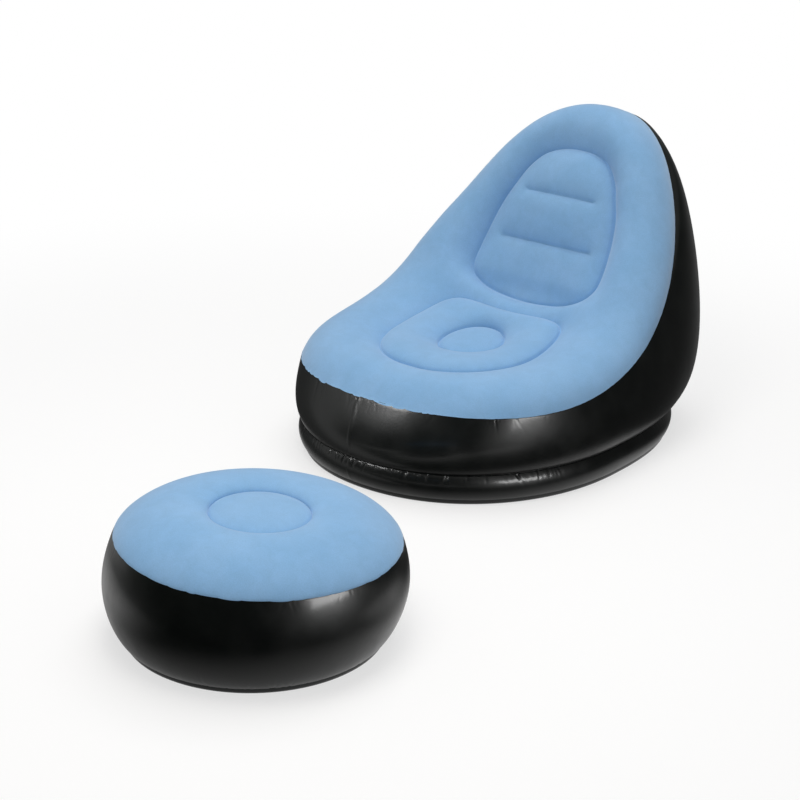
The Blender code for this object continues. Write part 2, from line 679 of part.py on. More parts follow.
class Chair:
    """Sheets, welds and ties of the chair, built from the outside in."""

    def __init__(self):
        self.turns = turns(CHAIR_STATIONS)
        self.top = FlockedTop()

    def seam_frame(self, turn):
        """Seam point, way into the air space and way across the seam, towards the top sheet."""
        point, outward = seam_point(turn)
        return point, -(outward + UP).normalized(), (UP - outward).normalized()

    def top_panel(self):
        flats, lines = self.top.flat_points()
        _, _, triangles, _, _, _ = delaunay_2d_cdt(flats, lines, [], 0, CDT_EPSILON)
        faces = []
        for corners in triangles:
            middle = sum((flats[i] for i in corners), Vector((0.0, 0.0))) / 3.0
            if inside(middle, self.top.edge):
                faces.append(corners)
        points = [self.top.shaped(flat) for flat in flats]
        edge_ways = {}
        for i, turn in enumerate(self.turns):
            point, inward, across = self.seam_frame(turn)
            points[i] = point + across * (0.5 * GAP)
            edge_ways[i] = inward
        _, inner = thick_sheet("chair_top_panel", points, faces, FLOCKED_SHEET, BLUE_FLOCK, edge_ways)
        first = CHAIR_STATIONS
        self.under = {}
        for key, loop in (("seat_pad", self.top.seat_pad), ("centre", self.top.centre),
                          ("back_pad", self.top.back_pad), ("lower_slit", self.top.slits[0]),
                          ("upper_slit", self.top.slits[1])):
            self.under[key] = inner[first:first + len(loop)]
            first += len(loop)

    def upper_wall(self):
        rows = []
        for j in range(UPPER_WALL_ROWS + 1):
            rows.append([upper_wall_point(turn, j / UPPER_WALL_ROWS) for turn in self.turns])
        edge_ways = {}
        last = UPPER_WALL_ROWS * CHAIR_STATIONS
        for i, turn in enumerate(self.turns):
            _, outward = outline_point(turn, WAIST, WAIST_Z)
            rows[0][i] += UP * (0.5 * GAP)
            edge_ways[i] = -outward
            _, inward, across = self.seam_frame(turn)
            rows[-1][i] -= across * (0.5 * GAP)
            edge_ways[last + i] = inward
        points = [point for row in rows for point in row]
        faces = ring_rows(rows)
        wall, inner = thick_sheet("chair_upper_wall", points, faces, WALL_SHEET, BLACK_PVC, edge_ways)
        self.wall_inside = BVHTree.FromPolygons([point for point, _ in inner], faces)
        low, high = rows[CHAIR_VALVE_ROW_COUNT], rows[CHAIR_VALVE_ROW_COUNT + 1]
        self.valve = valve_frame([low[-1], low[0], high[0], high[-1]])
        hole = round_cutter("chair_valve_hole_cutter", self.valve.translation, self.valve.col[2].to_3d(),
                            VALVE_NECK_RADIUS + GAP, VALVE_CUT_LENGTH)
        cut(wall, hole)

    def base_wall(self):
        rows = [[base_wall_point(turn, j / BASE_WALL_ROWS) for turn in self.turns]
                for j in range(BASE_WALL_ROWS + 1)]
        edge_ways = {}
        for i, turn in enumerate(self.turns):
            _, outward = outline_point(turn, WAIST, WAIST_Z)
            rows[0][i] += UP * (0.5 * GAP)
            rows[-1][i] -= UP * (0.5 * GAP)
            edge_ways[i] = edge_ways[BASE_WALL_ROWS * CHAIR_STATIONS + i] = -outward
        points = [point for row in rows for point in row]
        thick_sheet("chair_base_wall", points, ring_rows(rows), WALL_SHEET, BLACK_PVC, edge_ways)

    def bottom_panel(self):
        frames = [outline_point(turn, FOOT, FOOT_Z) for turn in self.turns]
        curled_sheet("chair_bottom_panel", frames, FOOT_Z, FOOT_CURL)

    def welds(self):
        frames = [self.seam_frame(turn) for turn in self.turns]
        weld_band("chair_top_weld", [f[0] for f in frames], [f[1] for f in frames], [f[2] for f in frames],
                  FLOCKED_SHEET + WELD_SETBACK, BLACK_PVC)
        for name, outline, z in (("chair_waist_weld", WAIST, WAIST_Z), ("chair_bottom_weld", FOOT, FOOT_Z)):
            frames = [outline_point(turn, outline, z) for turn in self.turns]
            weld_band(name, [f[0] for f in frames], [-f[1] for f in frames], [UP] * len(frames),
                      WALL_SHEET + GAP, BLACK_PVC)

    def waist_diaphragm(self):
        margin = WALL_SHEET + GAP + WELD_WIDTH + GAP
        loop = []
        for turn in self.turns:
            point, outward = outline_point(turn, WAIST, WAIST_Z - 0.5 * TIE_SHEET)
            loop.append(point - outward * margin)
        sheet = flat_disc("waist_diaphragm", loop, TIE_SHEET, CLEAR_PVC)
        side = 0.5 * (BASE_TIE_HALF_WIDTH + WAIST_HALF_WIDTH)
        front = -0.5 * (BASE_TIE_HALF_LENGTH + WAIST_FRONT_REACH)
        rear = 0.5 * (BASE_TIE_HALF_LENGTH + WAIST_REAR_REACH)
        ring = 0.5 * (SEAT_PAD_HALF_WIDTH + CENTRE_HALF_WIDTH)
        seat = self.seat_middle().y - WAIST_CENTRE_Y
        for i, (x, y) in enumerate(((side, 0.0), (-side, 0.0), (0.0, front), (0.0, rear),
                                    (ring, seat), (-ring, seat))):
            middle = Vector((x, WAIST_CENTRE_Y + y, WAIST_Z))
            cut(sheet, round_cutter(f"waist_air_hole_cutter_{i}", middle, UP, AIR_HOLE_RADIUS, AIR_CUT_LENGTH))

    def seat_middle(self):
        return sum((point for point, _ in self.under["centre"]), Vector()) / CENTRE_POINTS

    def standing_tie(self, name, key):
        """Tie from a weld of the seat straight down to the waist diaphragm."""
        top = tie_edge(self.under[key], -UP)
        floor = WAIST_Z + 0.5 * TIE_SHEET + GAP
        foot = [Vector((point.x, point.y, floor)) for point in top]
        return tie_band(name, top, foot, UP, True, CLEAR_PVC)

    def rear_tie(self, name, key, closed):
        """Tie from a weld of the back level to the rear wall."""
        rearward = Vector((0.0, 1.0, 0.0))
        near = tie_edge(self.under[key], rearward)
        far = []
        for point in near:
            hit, _, _, _ = self.wall_inside.ray_cast(point, rearward)
            far.append(hit - rearward * (2.0 * GAP))
        return tie_band(name, near, far, rearward, closed, CLEAR_PVC)

    def ties(self):
        seat_tie = self.standing_tie("seat_pad_tie", "seat_pad")
        centre_tie = self.standing_tie("seat_centre_tie", "centre")
        middle = self.seat_middle()
        middle.z = 0.5 * (WAIST_Z + middle.z)
        passage = round_cutter("seat_air_passage_cutter", middle, Vector((1.0, 0.0, 0.0)), AIR_HOLE_RADIUS,
                               2.0 * SEAM_HALF_WIDTH)
        cut(seat_tie, passage)
        cut(centre_tie, passage)
        self.rear_tie("lower_back_tie_strip", "lower_slit", False)
        self.rear_tie("upper_back_tie_strip", "upper_slit", False)
        back_tie = self.rear_tie("back_pad_tie", "back_pad", True)
        lowest = min((point for point, _ in self.under["back_pad"]), key=lambda point: point.z)
        middle = Vector((0.0, 0.5 * (lowest.y + SEAM_CENTRE_Y + SEAM_REAR_REACH), lowest.z))
        cut(back_tie, round_cutter("back_air_passage_cutter", middle, UP, AIR_HOLE_RADIUS, AIR_CUT_LENGTH))
        self.base_tie()

    def base_tie(self):
        outline = Outline(BASE_TIE_HALF_WIDTH, WAIST_CENTRE_Y, BASE_TIE_HALF_LENGTH, BASE_TIE_HALF_LENGTH,
                          BASE_FRONT_EXPONENT, BASE_FRONT_EXPONENT)
        low = WALL_SHEET + GAP
        high = WAIST_Z - 0.5 * TIE_SHEET - GAP
        top = [outline_point(turn, outline, high)[0] for turn in turns(BASE_TIE_POINTS)]
        foot = [Vector((point.x, point.y, low)) for point in top]
        tie = tie_band("base_tie", top, foot, UP, True, CLEAR_PVC)
        middle = Vector((0.0, WAIST_CENTRE_Y, 0.5 * (low + high)))
        cut(tie, round_cutter("base_air_passage_cutter", middle, Vector((1.0, 0.0, 0.0)), AIR_HOLE_RADIUS,
                              2.0 * WAIST_HALF_WIDTH))

    def build(self):
        self.top_panel()
        self.upper_wall()
        self.base_wall()
        self.bottom_panel()
        self.welds()
        self.waist_diaphragm()
        self.ties()
        build_valve("chair", self.valve)


def curled_sheet(name, frames, rise, curl):
    """Bottom sheet, flat on the floor, whose rim curls up to the weld given by frames."""
    rows = [[], [], []]
    edge_ways = {}
    count = len(frames)
    for i, (point, outward) in enumerate(frames):
        level = Vector((point.x, point.y, 0.0))
        rows[0].append(level - outward * curl)
        rows[1].append(level - outward * (CURL_IN_SHARE * curl) + UP * (CURL_UP_SHARE * rise))
        rows[2].append(point - UP * (0.5 * GAP))
        edge_ways[2 * count + i] = -outward
    points = [point for row in rows for point in row]
    faces = ring_rows(rows) + [tuple(reversed(range(count)))]
    thick_sheet(name, points, faces, WALL_SHEET, BLACK_PVC, edge_ways)


# Footstool

class Footstool:
    """Sheets, welds, tie and valve of the round footstool."""

    def __init__(self):
        self.turns = turns(STOOL_STATIONS)
        self.middle = Vector((STOOL_X, STOOL_Y, 0.0))

    def around(self, turn, radius, z):
        """Point round the middle; the footstool leans a little to one side, more the higher it is."""
        outward = Vector((-math.sin(turn), math.cos(turn), 0.0))
        lean_turn = math.radians(STOOL_LEAN_TURN_DEGREES)
        side = Vector((math.cos(lean_turn), math.sin(lean_turn), 0.0))
        lean = math.sin(math.radians(STOOL_LEAN_DEGREES)) * smooth_step(z, STOOL_FOOT_Z, STOOL_SEAM_Z)
        drop = outward.dot(side) * radius * lean
        return self.middle + outward * radius + side * (z * lean) + UP * (z - drop), outward

    def ring_point(self, turn, share):
        """Top sheet between the seam, share 0, and the centre weld, share 1."""
        radius = STOOL_SEAM_RADIUS + (STOOL_CENTRE_RADIUS - STOOL_SEAM_RADIUS) * share
        z = STOOL_SEAM_Z + (STOOL_CENTRE_Z - STOOL_SEAM_Z) * share
        z += STOOL_RING_CROWN * pillow(share, STOOL_RIM_POWER if share < 0.5 else PAD_POWER)
        return self.around(turn, radius, z)[0]

    def centre_point(self, turn, share):
        """Top sheet inside the centre weld, from share 0 on it to 1 in the middle."""
        z = STOOL_CENTRE_Z + STOOL_CENTRE_CROWN * pillow(0.5 * share, PAD_POWER)
        return self.around(turn, STOOL_CENTRE_RADIUS * (1.0 - share), z)[0]

    def seam_frame(self, turn):
        point, outward = self.around(turn, STOOL_SEAM_RADIUS, STOOL_SEAM_Z)
        return point, -(outward + UP).normalized(), (UP - outward).normalized()

    def wall_point(self, turn, share):
        low, outward = self.around(turn, STOOL_FOOT_RADIUS, STOOL_FOOT_Z)
        high, _ = self.around(turn, STOOL_SEAM_RADIUS, STOOL_SEAM_Z)
        return wall_point(low, high, outward, share, STOOL_SWELL, STOOL_WALL_POWERS, STOOL_WALL_PEAK_SHARE)

    def top_panel(self):
        count = len(self.turns)
        rows = [[self.ring_point(turn, share) for turn in self.turns] for share in STOOL_RING_SHARES]
        rows += [[self.centre_point(turn, share) for turn in self.turns] for share in STOOL_CENTRE_SHARES]
        edge_ways = {}
        for i, turn in enumerate(self.turns):
            point, inward, across = self.seam_frame(turn)
            rows[0][i] = point + across * (0.5 * GAP)
            edge_ways[i] = inward
        points = [point for row in rows for point in row]
        points.append(self.centre_point(0.0, 1.0))
        faces = ring_rows(rows)
        last = (len(rows) - 1) * count
        faces += [(last + i, last + (i + 1) % count, last + count) for i in range(count)]
        _, inner = thick_sheet("footstool_top_panel", points, faces, FLOCKED_SHEET, BLUE_FLOCK, edge_ways)
        weld_row = len(STOOL_RING_SHARES) - 1
        self.under = inner[weld_row * count:(weld_row + 1) * count]

    def wall(self):
        rows = [[self.wall_point(turn, share) for turn in self.turns] for share in STOOL_WALL_SHARES]
        edge_ways = {}
        last = (len(rows) - 1) * len(self.turns)
        for i, turn in enumerate(self.turns):
            _, outward = self.around(turn, STOOL_FOOT_RADIUS, STOOL_FOOT_Z)
            rows[0][i] += UP * (0.5 * GAP)
            edge_ways[i] = -outward
            _, inward, across = self.seam_frame(turn)
            rows[-1][i] -= across * (0.5 * GAP)
            edge_ways[last + i] = inward
        points = [point for row in rows for point in row]
        wall, _ = thick_sheet("footstool_wall", points, ring_rows(rows), WALL_SHEET, BLACK_PVC, edge_ways)
        low, high = rows[STOOL_VALVE_ROW_COUNT], rows[STOOL_VALVE_ROW_COUNT + 1]
        self.valve = valve_frame([low[-1], low[0], high[0], high[-1]])
        cut(wall, round_cutter("footstool_valve_hole_cutter", self.valve.translation,
                               self.valve.col[2].to_3d(), VALVE_NECK_RADIUS + GAP, VALVE_CUT_LENGTH))

    def welds(self):
        frames = [self.seam_frame(turn) for turn in self.turns]
        weld_band("footstool_top_weld", [f[0] for f in frames], [f[1] for f in frames],
                  [f[2] for f in frames], FLOCKED_SHEET + WELD_SETBACK, BLACK_PVC)
        frames = [self.around(turn, STOOL_FOOT_RADIUS, STOOL_FOOT_Z) for turn in self.turns]
        weld_band("footstool_bottom_weld", [f[0] for f in frames], [-f[1] for f in frames],
                  [UP] * len(frames), WALL_SHEET + GAP, BLACK_PVC)

    def centre_tie(self):
        top = tie_edge(self.under, -UP)
        foot = [Vector((point.x, point.y, WALL_SHEET + GAP)) for point in top]
        tie = tie_band("footstool_centre_tie", top, foot, UP, True, CLEAR_PVC)
        middle = self.middle + UP * (0.5 * STOOL_CENTRE_Z)
        cut(tie, round_cutter("footstool_air_passage_cutter", middle, Vector((1.0, 0.0, 0.0)),
                              AIR_HOLE_RADIUS, 2.0 * STOOL_SEAM_RADIUS))

    def build(self):
        self.top_panel()
        self.wall()
        frames = [self.around(turn, STOOL_FOOT_RADIUS, STOOL_FOOT_Z) for turn in self.turns]
        curled_sheet("footstool_bottom_panel", frames, STOOL_FOOT_Z, STOOL_FOOT_CURL)
        self.welds()
        self.centre_tie()
        build_valve("footstool", self.valve)


# Valve

def valve_frame(corners):
    """Frame on the middle of a flat wall face: Z points out of the wall and Y up along it."""
    low_right, low_left, high_left, high_right = corners
    middle = sum(corners, Vector()) / len(corners)
    across = (low_right - low_left).normalized()
    up = (high_right + high_left - low_right - low_left).normalized()
    outward = across.cross(up).normalized()
    if outward.y < 0.0:
        across, outward = -across, -outward
    up = outward.cross(across)
    frame = Matrix((across, up, outward)).transposed().to_4x4()
    frame.translation = middle
    return frame


def turned(name, profile, finish):
    """Round piece about Z from a closed profile of (radius, height) points."""
    bm = bmesh.new()
    verts = [bm.verts.new((radius, 0.0, height)) for radius, height in profile]
    edges = [bm.edges.new((a, b)) for a, b in zip(verts, verts[1:] + verts[:1]) if a.co.x + b.co.x > 0.0]
    bmesh.ops.spin(bm, geom=verts + edges, cent=(0.0, 0.0, 0.0), axis=UP, dvec=(0.0, 0.0, 0.0),
                   angle=2.0 * math.pi, steps=TURNED_STEPS, use_merge=True, use_duplicate=False)
    bmesh.ops.remove_doubles(bm, verts=bm.verts, dist=MERGE_DISTANCE)
    bmesh.ops.recalc_face_normals(bm, faces=bm.faces)
    return object_from_bmesh(name, bm, finish)


def plate(name, outline, low, high, finish):
    """Flat plate with the given outline between two heights."""
    bm = bmesh.new()
    face = bm.faces.new([bm.verts.new((x, y, low)) for x, y in outline])
    lifted = bmesh.ops.extrude_face_region(bm, geom=[face])
    moved = [item for item in lifted["geom"] if isinstance(item, bmesh.types.BMVert)]
    bmesh.ops.translate(bm, verts=moved, vec=UP * (high - low))
    bmesh.ops.recalc_face_normals(bm, faces=bm.faces)
    return object_from_bmesh(name, bm, finish)


def cap_outline(origin):
    """Round cap with a strap towards its hinge at +Y and a finger tab at -Y."""
    half = 0.5 * VALVE_STRAP_WIDTH
    spread = math.asin(half / VALVE_CAP_RADIUS)
    points = []
    for i in range(CAP_ARC_STEPS + 1):
        angle = -0.5 * math.pi + spread + (math.pi - 2.0 * spread) * i / CAP_ARC_STEPS
        points.append((VALVE_CAP_RADIUS * math.cos(angle), VALVE_CAP_RADIUS * math.sin(angle)))
    points += [(half, VALVE_HINGE_OFFSET), (-half, VALVE_HINGE_OFFSET)]
    for i in range(CAP_ARC_STEPS + 1):
        angle = 0.5 * math.pi + spread + (math.pi - 2.0 * spread) * i / CAP_ARC_STEPS
        points.append((VALVE_CAP_RADIUS * math.cos(angle), VALVE_CAP_RADIUS * math.sin(angle)))
    tip = -VALVE_CAP_RADIUS - VALVE_TAB_LENGTH
    points += [(-half, tip), (half, tip)]
    return [(x, y - origin) for x, y in points]


def build_valve(owner, frame):
    """Valve body, pull-out insert, one-way flap and hinged cap, on a wall face."""
    mount = bpy.data.objects.new(f"{owner}_valve_axis", None)
    mount.matrix_world = frame
    bpy.context.scene.collection.objects.link(mount)

    flange_top = -WALL_SHEET - GAP
    flange_low = flange_top - VALVE_FLANGE_THICKNESS
    bore = VALVE_NECK_RADIUS - VALVE_NECK_WALL
    body = turned(f"{owner}_valve_body", [
        (VALVE_FLANGE_RADIUS, flange_top), (VALVE_FLANGE_RADIUS, flange_low),
        (VALVE_NECK_RADIUS, flange_low), (VALVE_NECK_RADIUS, -VALVE_NECK_DEPTH),
        (bore, -VALVE_NECK_DEPTH), (bore, VALVE_NECK_STANDOFF),
        (VALVE_NECK_RADIUS, VALVE_NECK_STANDOFF), (VALVE_NECK_RADIUS, flange_top)], VALVE_VINYL)

    lip_low = VALVE_NECK_STANDOFF + GAP
    lip_high = lip_low + VALVE_LIP_THICKNESS
    plug_radius = bore - GAP
    insert = turned(f"{owner}_valve_insert", [
        (VALVE_PORT_RADIUS, lip_high), (VALVE_LIP_RADIUS, lip_high), (VALVE_LIP_RADIUS, lip_low),
        (plug_radius, lip_low), (plug_radius, -VALVE_NECK_DEPTH), (VALVE_PORT_RADIUS, -VALVE_NECK_DEPTH)],
        VALVE_VINYL)

    flap_high = -VALVE_NECK_DEPTH - GAP
    flap = turned(f"{owner}_valve_flap", [
        (0.0, -VALVE_FLAP_THICKNESS), (VALVE_FLAP_RADIUS, -VALVE_FLAP_THICKNESS),
        (VALVE_FLAP_RADIUS, 0.0), (0.0, 0.0)], CLEAR_PVC)
    for vert in flap.data.vertices:
        vert.co.y -= VALVE_FLAP_RADIUS
    flap.location = (0.0, VALVE_FLAP_RADIUS, flap_high)

    cap_low = lip_high + GAP
    cap = plate(f"{owner}_valve_cap", cap_outline(VALVE_HINGE_OFFSET), -VALVE_CAP_THICKNESS, 0.0, VALVE_VINYL)
    cap.location = (0.0, VALVE_HINGE_OFFSET, cap_low + VALVE_CAP_THICKNESS)
    root = VALVE_PORT_RADIUS - VALVE_PLUG_PLAY
    plug_tip = -VALVE_CAP_THICKNESS - VALVE_PLUG_DEPTH
    plug = turned(f"{owner}_valve_plug_tool", [
        (0.0, -0.5 * VALVE_CAP_THICKNESS), (root, -0.5 * VALVE_CAP_THICKNESS), (root, -VALVE_CAP_THICKNESS),
        (root - VALVE_PLUG_TAPER, plug_tip), (0.0, plug_tip)], VALVE_VINYL)
    for vert in plug.data.vertices:
        vert.co.y -= VALVE_HINGE_OFFSET
    plug.location = cap.location
    hide_cutter(plug)
    union = cap.modifiers.new("plug", "BOOLEAN")
    union.operation = "UNION"
    union.object = plug
    union.solver = "EXACT"

    for item in (body, insert, flap, cap, plug):
        item.parent = mount


def main():
    clear_scene()
    Chair().build()
    Footstool().build()
    bpy.context.view_layer.update()


main()
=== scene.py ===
"""Looks of the inflatable lounge chair and its footstool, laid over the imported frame.

Units are metres and +Z is up. The chair faces -Y. The inflated sheets are drawn again from
the sizes that the frame was made with, fine enough to hold their welds and puckers.
"""
import json
import math
from collections import namedtuple

import bpy
import numpy as np
from mathutils import Matrix, Vector
from mathutils.geometry import delaunay_2d_cdt

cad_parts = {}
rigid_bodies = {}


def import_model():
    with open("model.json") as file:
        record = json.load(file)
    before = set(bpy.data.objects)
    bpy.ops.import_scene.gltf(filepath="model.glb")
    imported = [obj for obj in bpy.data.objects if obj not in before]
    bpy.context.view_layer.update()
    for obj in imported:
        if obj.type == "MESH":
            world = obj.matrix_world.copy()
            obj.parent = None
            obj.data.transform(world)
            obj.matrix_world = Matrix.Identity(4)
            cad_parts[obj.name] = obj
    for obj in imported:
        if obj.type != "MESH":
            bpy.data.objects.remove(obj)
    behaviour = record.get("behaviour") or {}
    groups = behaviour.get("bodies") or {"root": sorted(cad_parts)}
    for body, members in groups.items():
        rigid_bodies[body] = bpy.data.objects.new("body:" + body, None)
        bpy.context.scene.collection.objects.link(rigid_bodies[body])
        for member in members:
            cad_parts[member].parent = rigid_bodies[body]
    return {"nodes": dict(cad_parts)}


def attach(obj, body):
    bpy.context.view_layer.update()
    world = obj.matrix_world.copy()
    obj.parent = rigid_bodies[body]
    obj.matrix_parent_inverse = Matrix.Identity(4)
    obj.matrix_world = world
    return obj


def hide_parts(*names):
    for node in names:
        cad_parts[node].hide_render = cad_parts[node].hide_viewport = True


# Sheets
GAP = 0.0003
WALL_SHEET = 0.0005
FLOCKED_SHEET = 0.0010

# Seam between the flocked top and the upper wall of the chair
SEAM_HALF_WIDTH = 0.433
SEAM_CENTRE_Y = -0.070
SEAM_FRONT_REACH = 0.4225
SEAM_REAR_REACH = 0.633
SEAM_LOW_Z = 0.229
SEAM_RISE = 0.560
SEAM_RISE_POWER = 3.48
SEAM_FRONT_EXPONENT = 2.38
SEAM_REAR_EXPONENT = 2.14

# Waist crease and bottom weld of the chair
WAIST_HALF_WIDTH = 0.4355
WAIST_CENTRE_Y = -0.030
WAIST_FRONT_REACH = 0.505
WAIST_REAR_REACH = 0.517
WAIST_Z = 0.080
FOOT_HALF_WIDTH = 0.4365
FOOT_FRONT_REACH = 0.498
FOOT_REAR_REACH = 0.512
FOOT_Z = 0.013
FOOT_CURL = 0.008
BASE_FRONT_EXPONENT = 2.1
BASE_REAR_EXPONENT = 2.6

# Swell of the walls of the chair
WALL_LOW_SWELL = 0.017
WALL_HIGH_SWELL = 0.1025
WALL_SWELL_SHARES = (0.15, 0.89)
LOW_WALL_POWER = 0.95
HIGH_WALL_POWER = 0.42
UPPER_WALL_PEAK_SHARE = 0.37
BASE_SWELL = 0.013
BASE_WALL_POWERS = (0.70, 0.70)
BASE_WALL_PEAK_SHARE = 0.5

# Flocked top of the chair: lengths are measured along the sheet from the front seam
MEDIAN_SHARES = [
    (0.0, 0.0), (0.158, 0.070), (0.313, 0.059), (0.391, 0.066), (0.467, 0.095), (0.538, 0.141),
    (0.622, 0.177), (0.656, 0.279), (0.695, 0.429), (0.748, 0.654), (0.831, 0.841), (1.0, 1.0)]
SEAT_PAD_START = 0.171
SEAT_PAD_LENGTH = 0.425
SEAT_PAD_HALF_WIDTH = 0.217
CENTRE_START = 0.327
CENTRE_LENGTH = 0.182
CENTRE_HALF_WIDTH = 0.084
BACK_PAD_START = 0.663
BACK_PAD_LENGTH = 0.450
BACK_PAD_HALF_WIDTH = 0.203
LOWER_SLIT_AT = 0.832
LOWER_SLIT_HALF_LENGTH = 0.136
UPPER_SLIT_AT = 0.970
UPPER_SLIT_HALF_LENGTH = 0.105
SEAT_PAD_SHARES = [
    (0.0, 0.0), (0.30, 0.012), (0.57, 0.07), (0.78, 0.18), (0.93, 0.34), (0.985, 0.52), (0.975, 0.70),
    (0.915, 0.865), (0.80, 0.955), (0.64, 0.988), (0.44, 0.99), (0.22, 0.98), (0.0, 0.975)]
BACK_PAD_SHARES = [
    (0.0, 0.0), (0.45, 0.015), (0.72, 0.04), (0.90, 0.085), (0.99, 0.16), (1.0, 0.26), (0.98, 0.375),
    (0.95, 0.48), (0.89, 0.607), (0.80, 0.72), (0.70, 0.83), (0.53, 0.93), (0.28, 0.985), (0.0, 1.0)]
RIM_FRONT_CROWN = 0.0275
RIM_BACK_CROWN = 0.071
HIP_CROWN = 0.0135
HIP_AT = 0.68
HIP_REACH = 0.16
SEAT_RING_CROWN = 0.028
CENTRE_CROWN = 0.023
BACK_PAD_CROWN = 0.020
PAD_EDGE_ROUND = 0.020
PAD_EDGE_POWER = 0.75
SEAT_CUP = 0.072
LOWER_BACK_CUP = 0.065
UPPER_BACK_CUP = 0.047
CUP_FADE = 0.095
SECTION_POWER = 2.5
PAD_POWER = 0.60
RIM_PAD_POWER = 0.80
RIM_POWER = 1.30
WAY_POWER = 1.5
WELD_HALF_WIDTH = 0.0014
CREASE_POWER = 2.2
BROAD_REACH = 0.18
BROAD_STEPS = 9
BROAD_FROM_X = 0.09
BROAD_TO_X = 0.27

# Footstool
STOOL_X = 0.325
STOOL_Y = -1.238
STOOL_SEAM_RADIUS = 0.302
STOOL_SEAM_Z = 0.220
STOOL_FOOT_RADIUS = 0.281
STOOL_FOOT_Z = 0.013
STOOL_FOOT_CURL = 0.008
STOOL_SWELL = 0.031
STOOL_CENTRE_RADIUS = 0.108
STOOL_CENTRE_Z = 0.268
STOOL_RING_CROWN = 0.036
STOOL_CENTRE_CROWN = 0.020
STOOL_WALL_POWERS = (0.70, 0.90)
STOOL_WALL_PEAK_SHARE = 0.48
STOOL_RIM_POWER = 0.68
STOOL_LEAN_DEGREES = 2.5
STOOL_LEAN_TURN_DEGREES = 39.4

# Valves: the wall lies flat on the flange, and the neck comes out through a round hole
CHAIR_VALVE_AT = (0.0, 0.60687, 0.26605)
CHAIR_VALVE_WAY = (0.0, 0.98655, -0.16345)
STOOL_VALVE_AT = (0.3286, -0.9165, 0.10546)
STOOL_VALVE_WAY = (-0.0013, 0.99269, -0.12067)
VALVE_HOLE_RADIUS = 0.0138
VALVE_FLAT_RADIUS = 0.023
VALVE_FADE_RADIUS = 0.055
VALVE_CUT_LENGTH = 0.03
VALVE_HOLE_SIDES = 64

# Lap weld where the ends of the chair's wall strips meet, by its turn in degrees
LAP_TURN = 177.0
LAP_WIDTH = 0.010
LAP_HEIGHT = 0.0006
LAP_EDGE = 0.0012

# Scallops of a top seam, where the sheets were gathered into the weld
SCALLOP_SPACING = 0.036
SCALLOP_DEPTH = 0.0055
SCALLOP_QUIET_SHARE = 0.16
SCALLOP_REACH = 0.011
SCALLOP_POWER = 0.55
STOOL_SCALLOP_SHARE = 0.25
CHAIR_SCALLOP_SEED = 11
STOOL_SCALLOP_SEED = 31

# Folds that run square to a weld, and how far from a weld they begin
Folds = namedtuple("Folds", "seed spacing depth reach width")
UPPER_WALL_FOLDS = Folds(5, 0.016, 0.0011, 0.022, 0.0042)
BASE_WALL_FOLDS = Folds(23, 0.0085, 0.0026, 0.013, 0.0044)
STOOL_SEAM_FOLDS = Folds(41, 0.020, 0.0006, 0.016, 0.0050)
STOOL_FOOT_FOLDS = Folds(43, 0.010, 0.0011, 0.012, 0.0040)
UPPER_QUIET_SHARE = 0.22
BASE_QUIET_SHARE = 0.15
WELD_CLEAR = 0.004
WAIST_CLEAR = 0.012
FOOT_CLEAR = 0.020

# Turns, in degrees, between which seams are gathered: start, full, fade and stop
SCALLOPED_TURNS = (78.0, 100.0, 188.0, 206.0)
FRONT_FOLD_TURNS = (148.0, 158.0, 172.0, 186.0)
SIDE_FOLD_TURNS = (208.0, 216.0, 236.0, 250.0)
BASE_FOLD_TURNS = (128.0, 142.0, 236.0, 256.0)

# Bottom sheets
CURL_IN_SHARE = 0.22
CURL_UP_SHARE = 0.30
FLOOR_SHARES = (0.25, 0.5, 0.75, 0.9)

# Camera of the photograph, solved from the outlines of both pieces
CAMERA_AZIMUTH = 39.426
CAMERA_ELEVATION = 20.902
CAMERA_ROLL = 0.869
CAMERA_DISTANCE = 4.333
CAMERA_TARGET = (0.2443, -0.6687, 0.3382)
CAMERA_FOCUS_PIXELS = 1876.3
IMAGE_PIXELS = 800.0
SENSOR_MM = 36.0

# Studio: directions are azimuth from the front towards +X and elevation, both in degrees
Lamp = namedtuple("Lamp", "azimuth elevation distance size watts")
LEFT_LAMP = Lamp(-36.0, 33.0, 3.0, (1.1, 0.4), 40.0)
RIGHT_LAMP = Lamp(82.0, 6.0, 3.0, (1.5, 0.60), 58.0)
HIGH_LAMP = Lamp(90.0, 58.0, 3.0, (1.6, 0.5), 24.0)
OVERHEAD_LAMP = Lamp(200.0, 69.0, 7.0, (4.5, 4.5), 210.0)
FRONT_LAMP = Lamp(12.0, 64.0, 2.4, (1.2, 1.2), 22.0)
FRONT_LAMP_TINT = (1.0, 0.965, 0.92)
LAMP_AIM = (0.15, -0.5, 0.35)
SET_MIDDLE = (0.15, -0.6, 0.0)
SHADE_MIDDLE = (0.16, -0.6, 0.0)
FLOOR_RADIUS = 4.0
FLAG_RADIUS = 3.4
FLAG_HEIGHT = 2.3
FLAG_LIFT = 0.002
# Level of the flag cloth by azimuth, and where the floor shows through it: middle, near, far
FLAG_LEVELS = [
    (-180.0, 0.20), (-110.0, 0.05), (-88.0, 0.12), (-74.0, 0.55), (-60.0, 0.65), (-50.0, 0.12),
    (-42.0, 0.012), (35.0, 0.010), (75.0, 0.02), (115.0, 0.03), (140.0, 0.03), (160.0, 0.05), (180.0, 0.20)]
FLAG_OPENINGS = [
    ((0.0, -0.03, 0.0), 0.45, 0.58), ((0.36, -1.16, 0.0), 0.22, 0.55), ((-0.30, -1.60, 0.0), 0.10, 0.60),
    ((0.95, -0.75, 0.0), 0.10, 0.42)]
SURROUND_LEVEL = 0.40
WHITE = (1.0, 1.0, 1.0, 1.0)

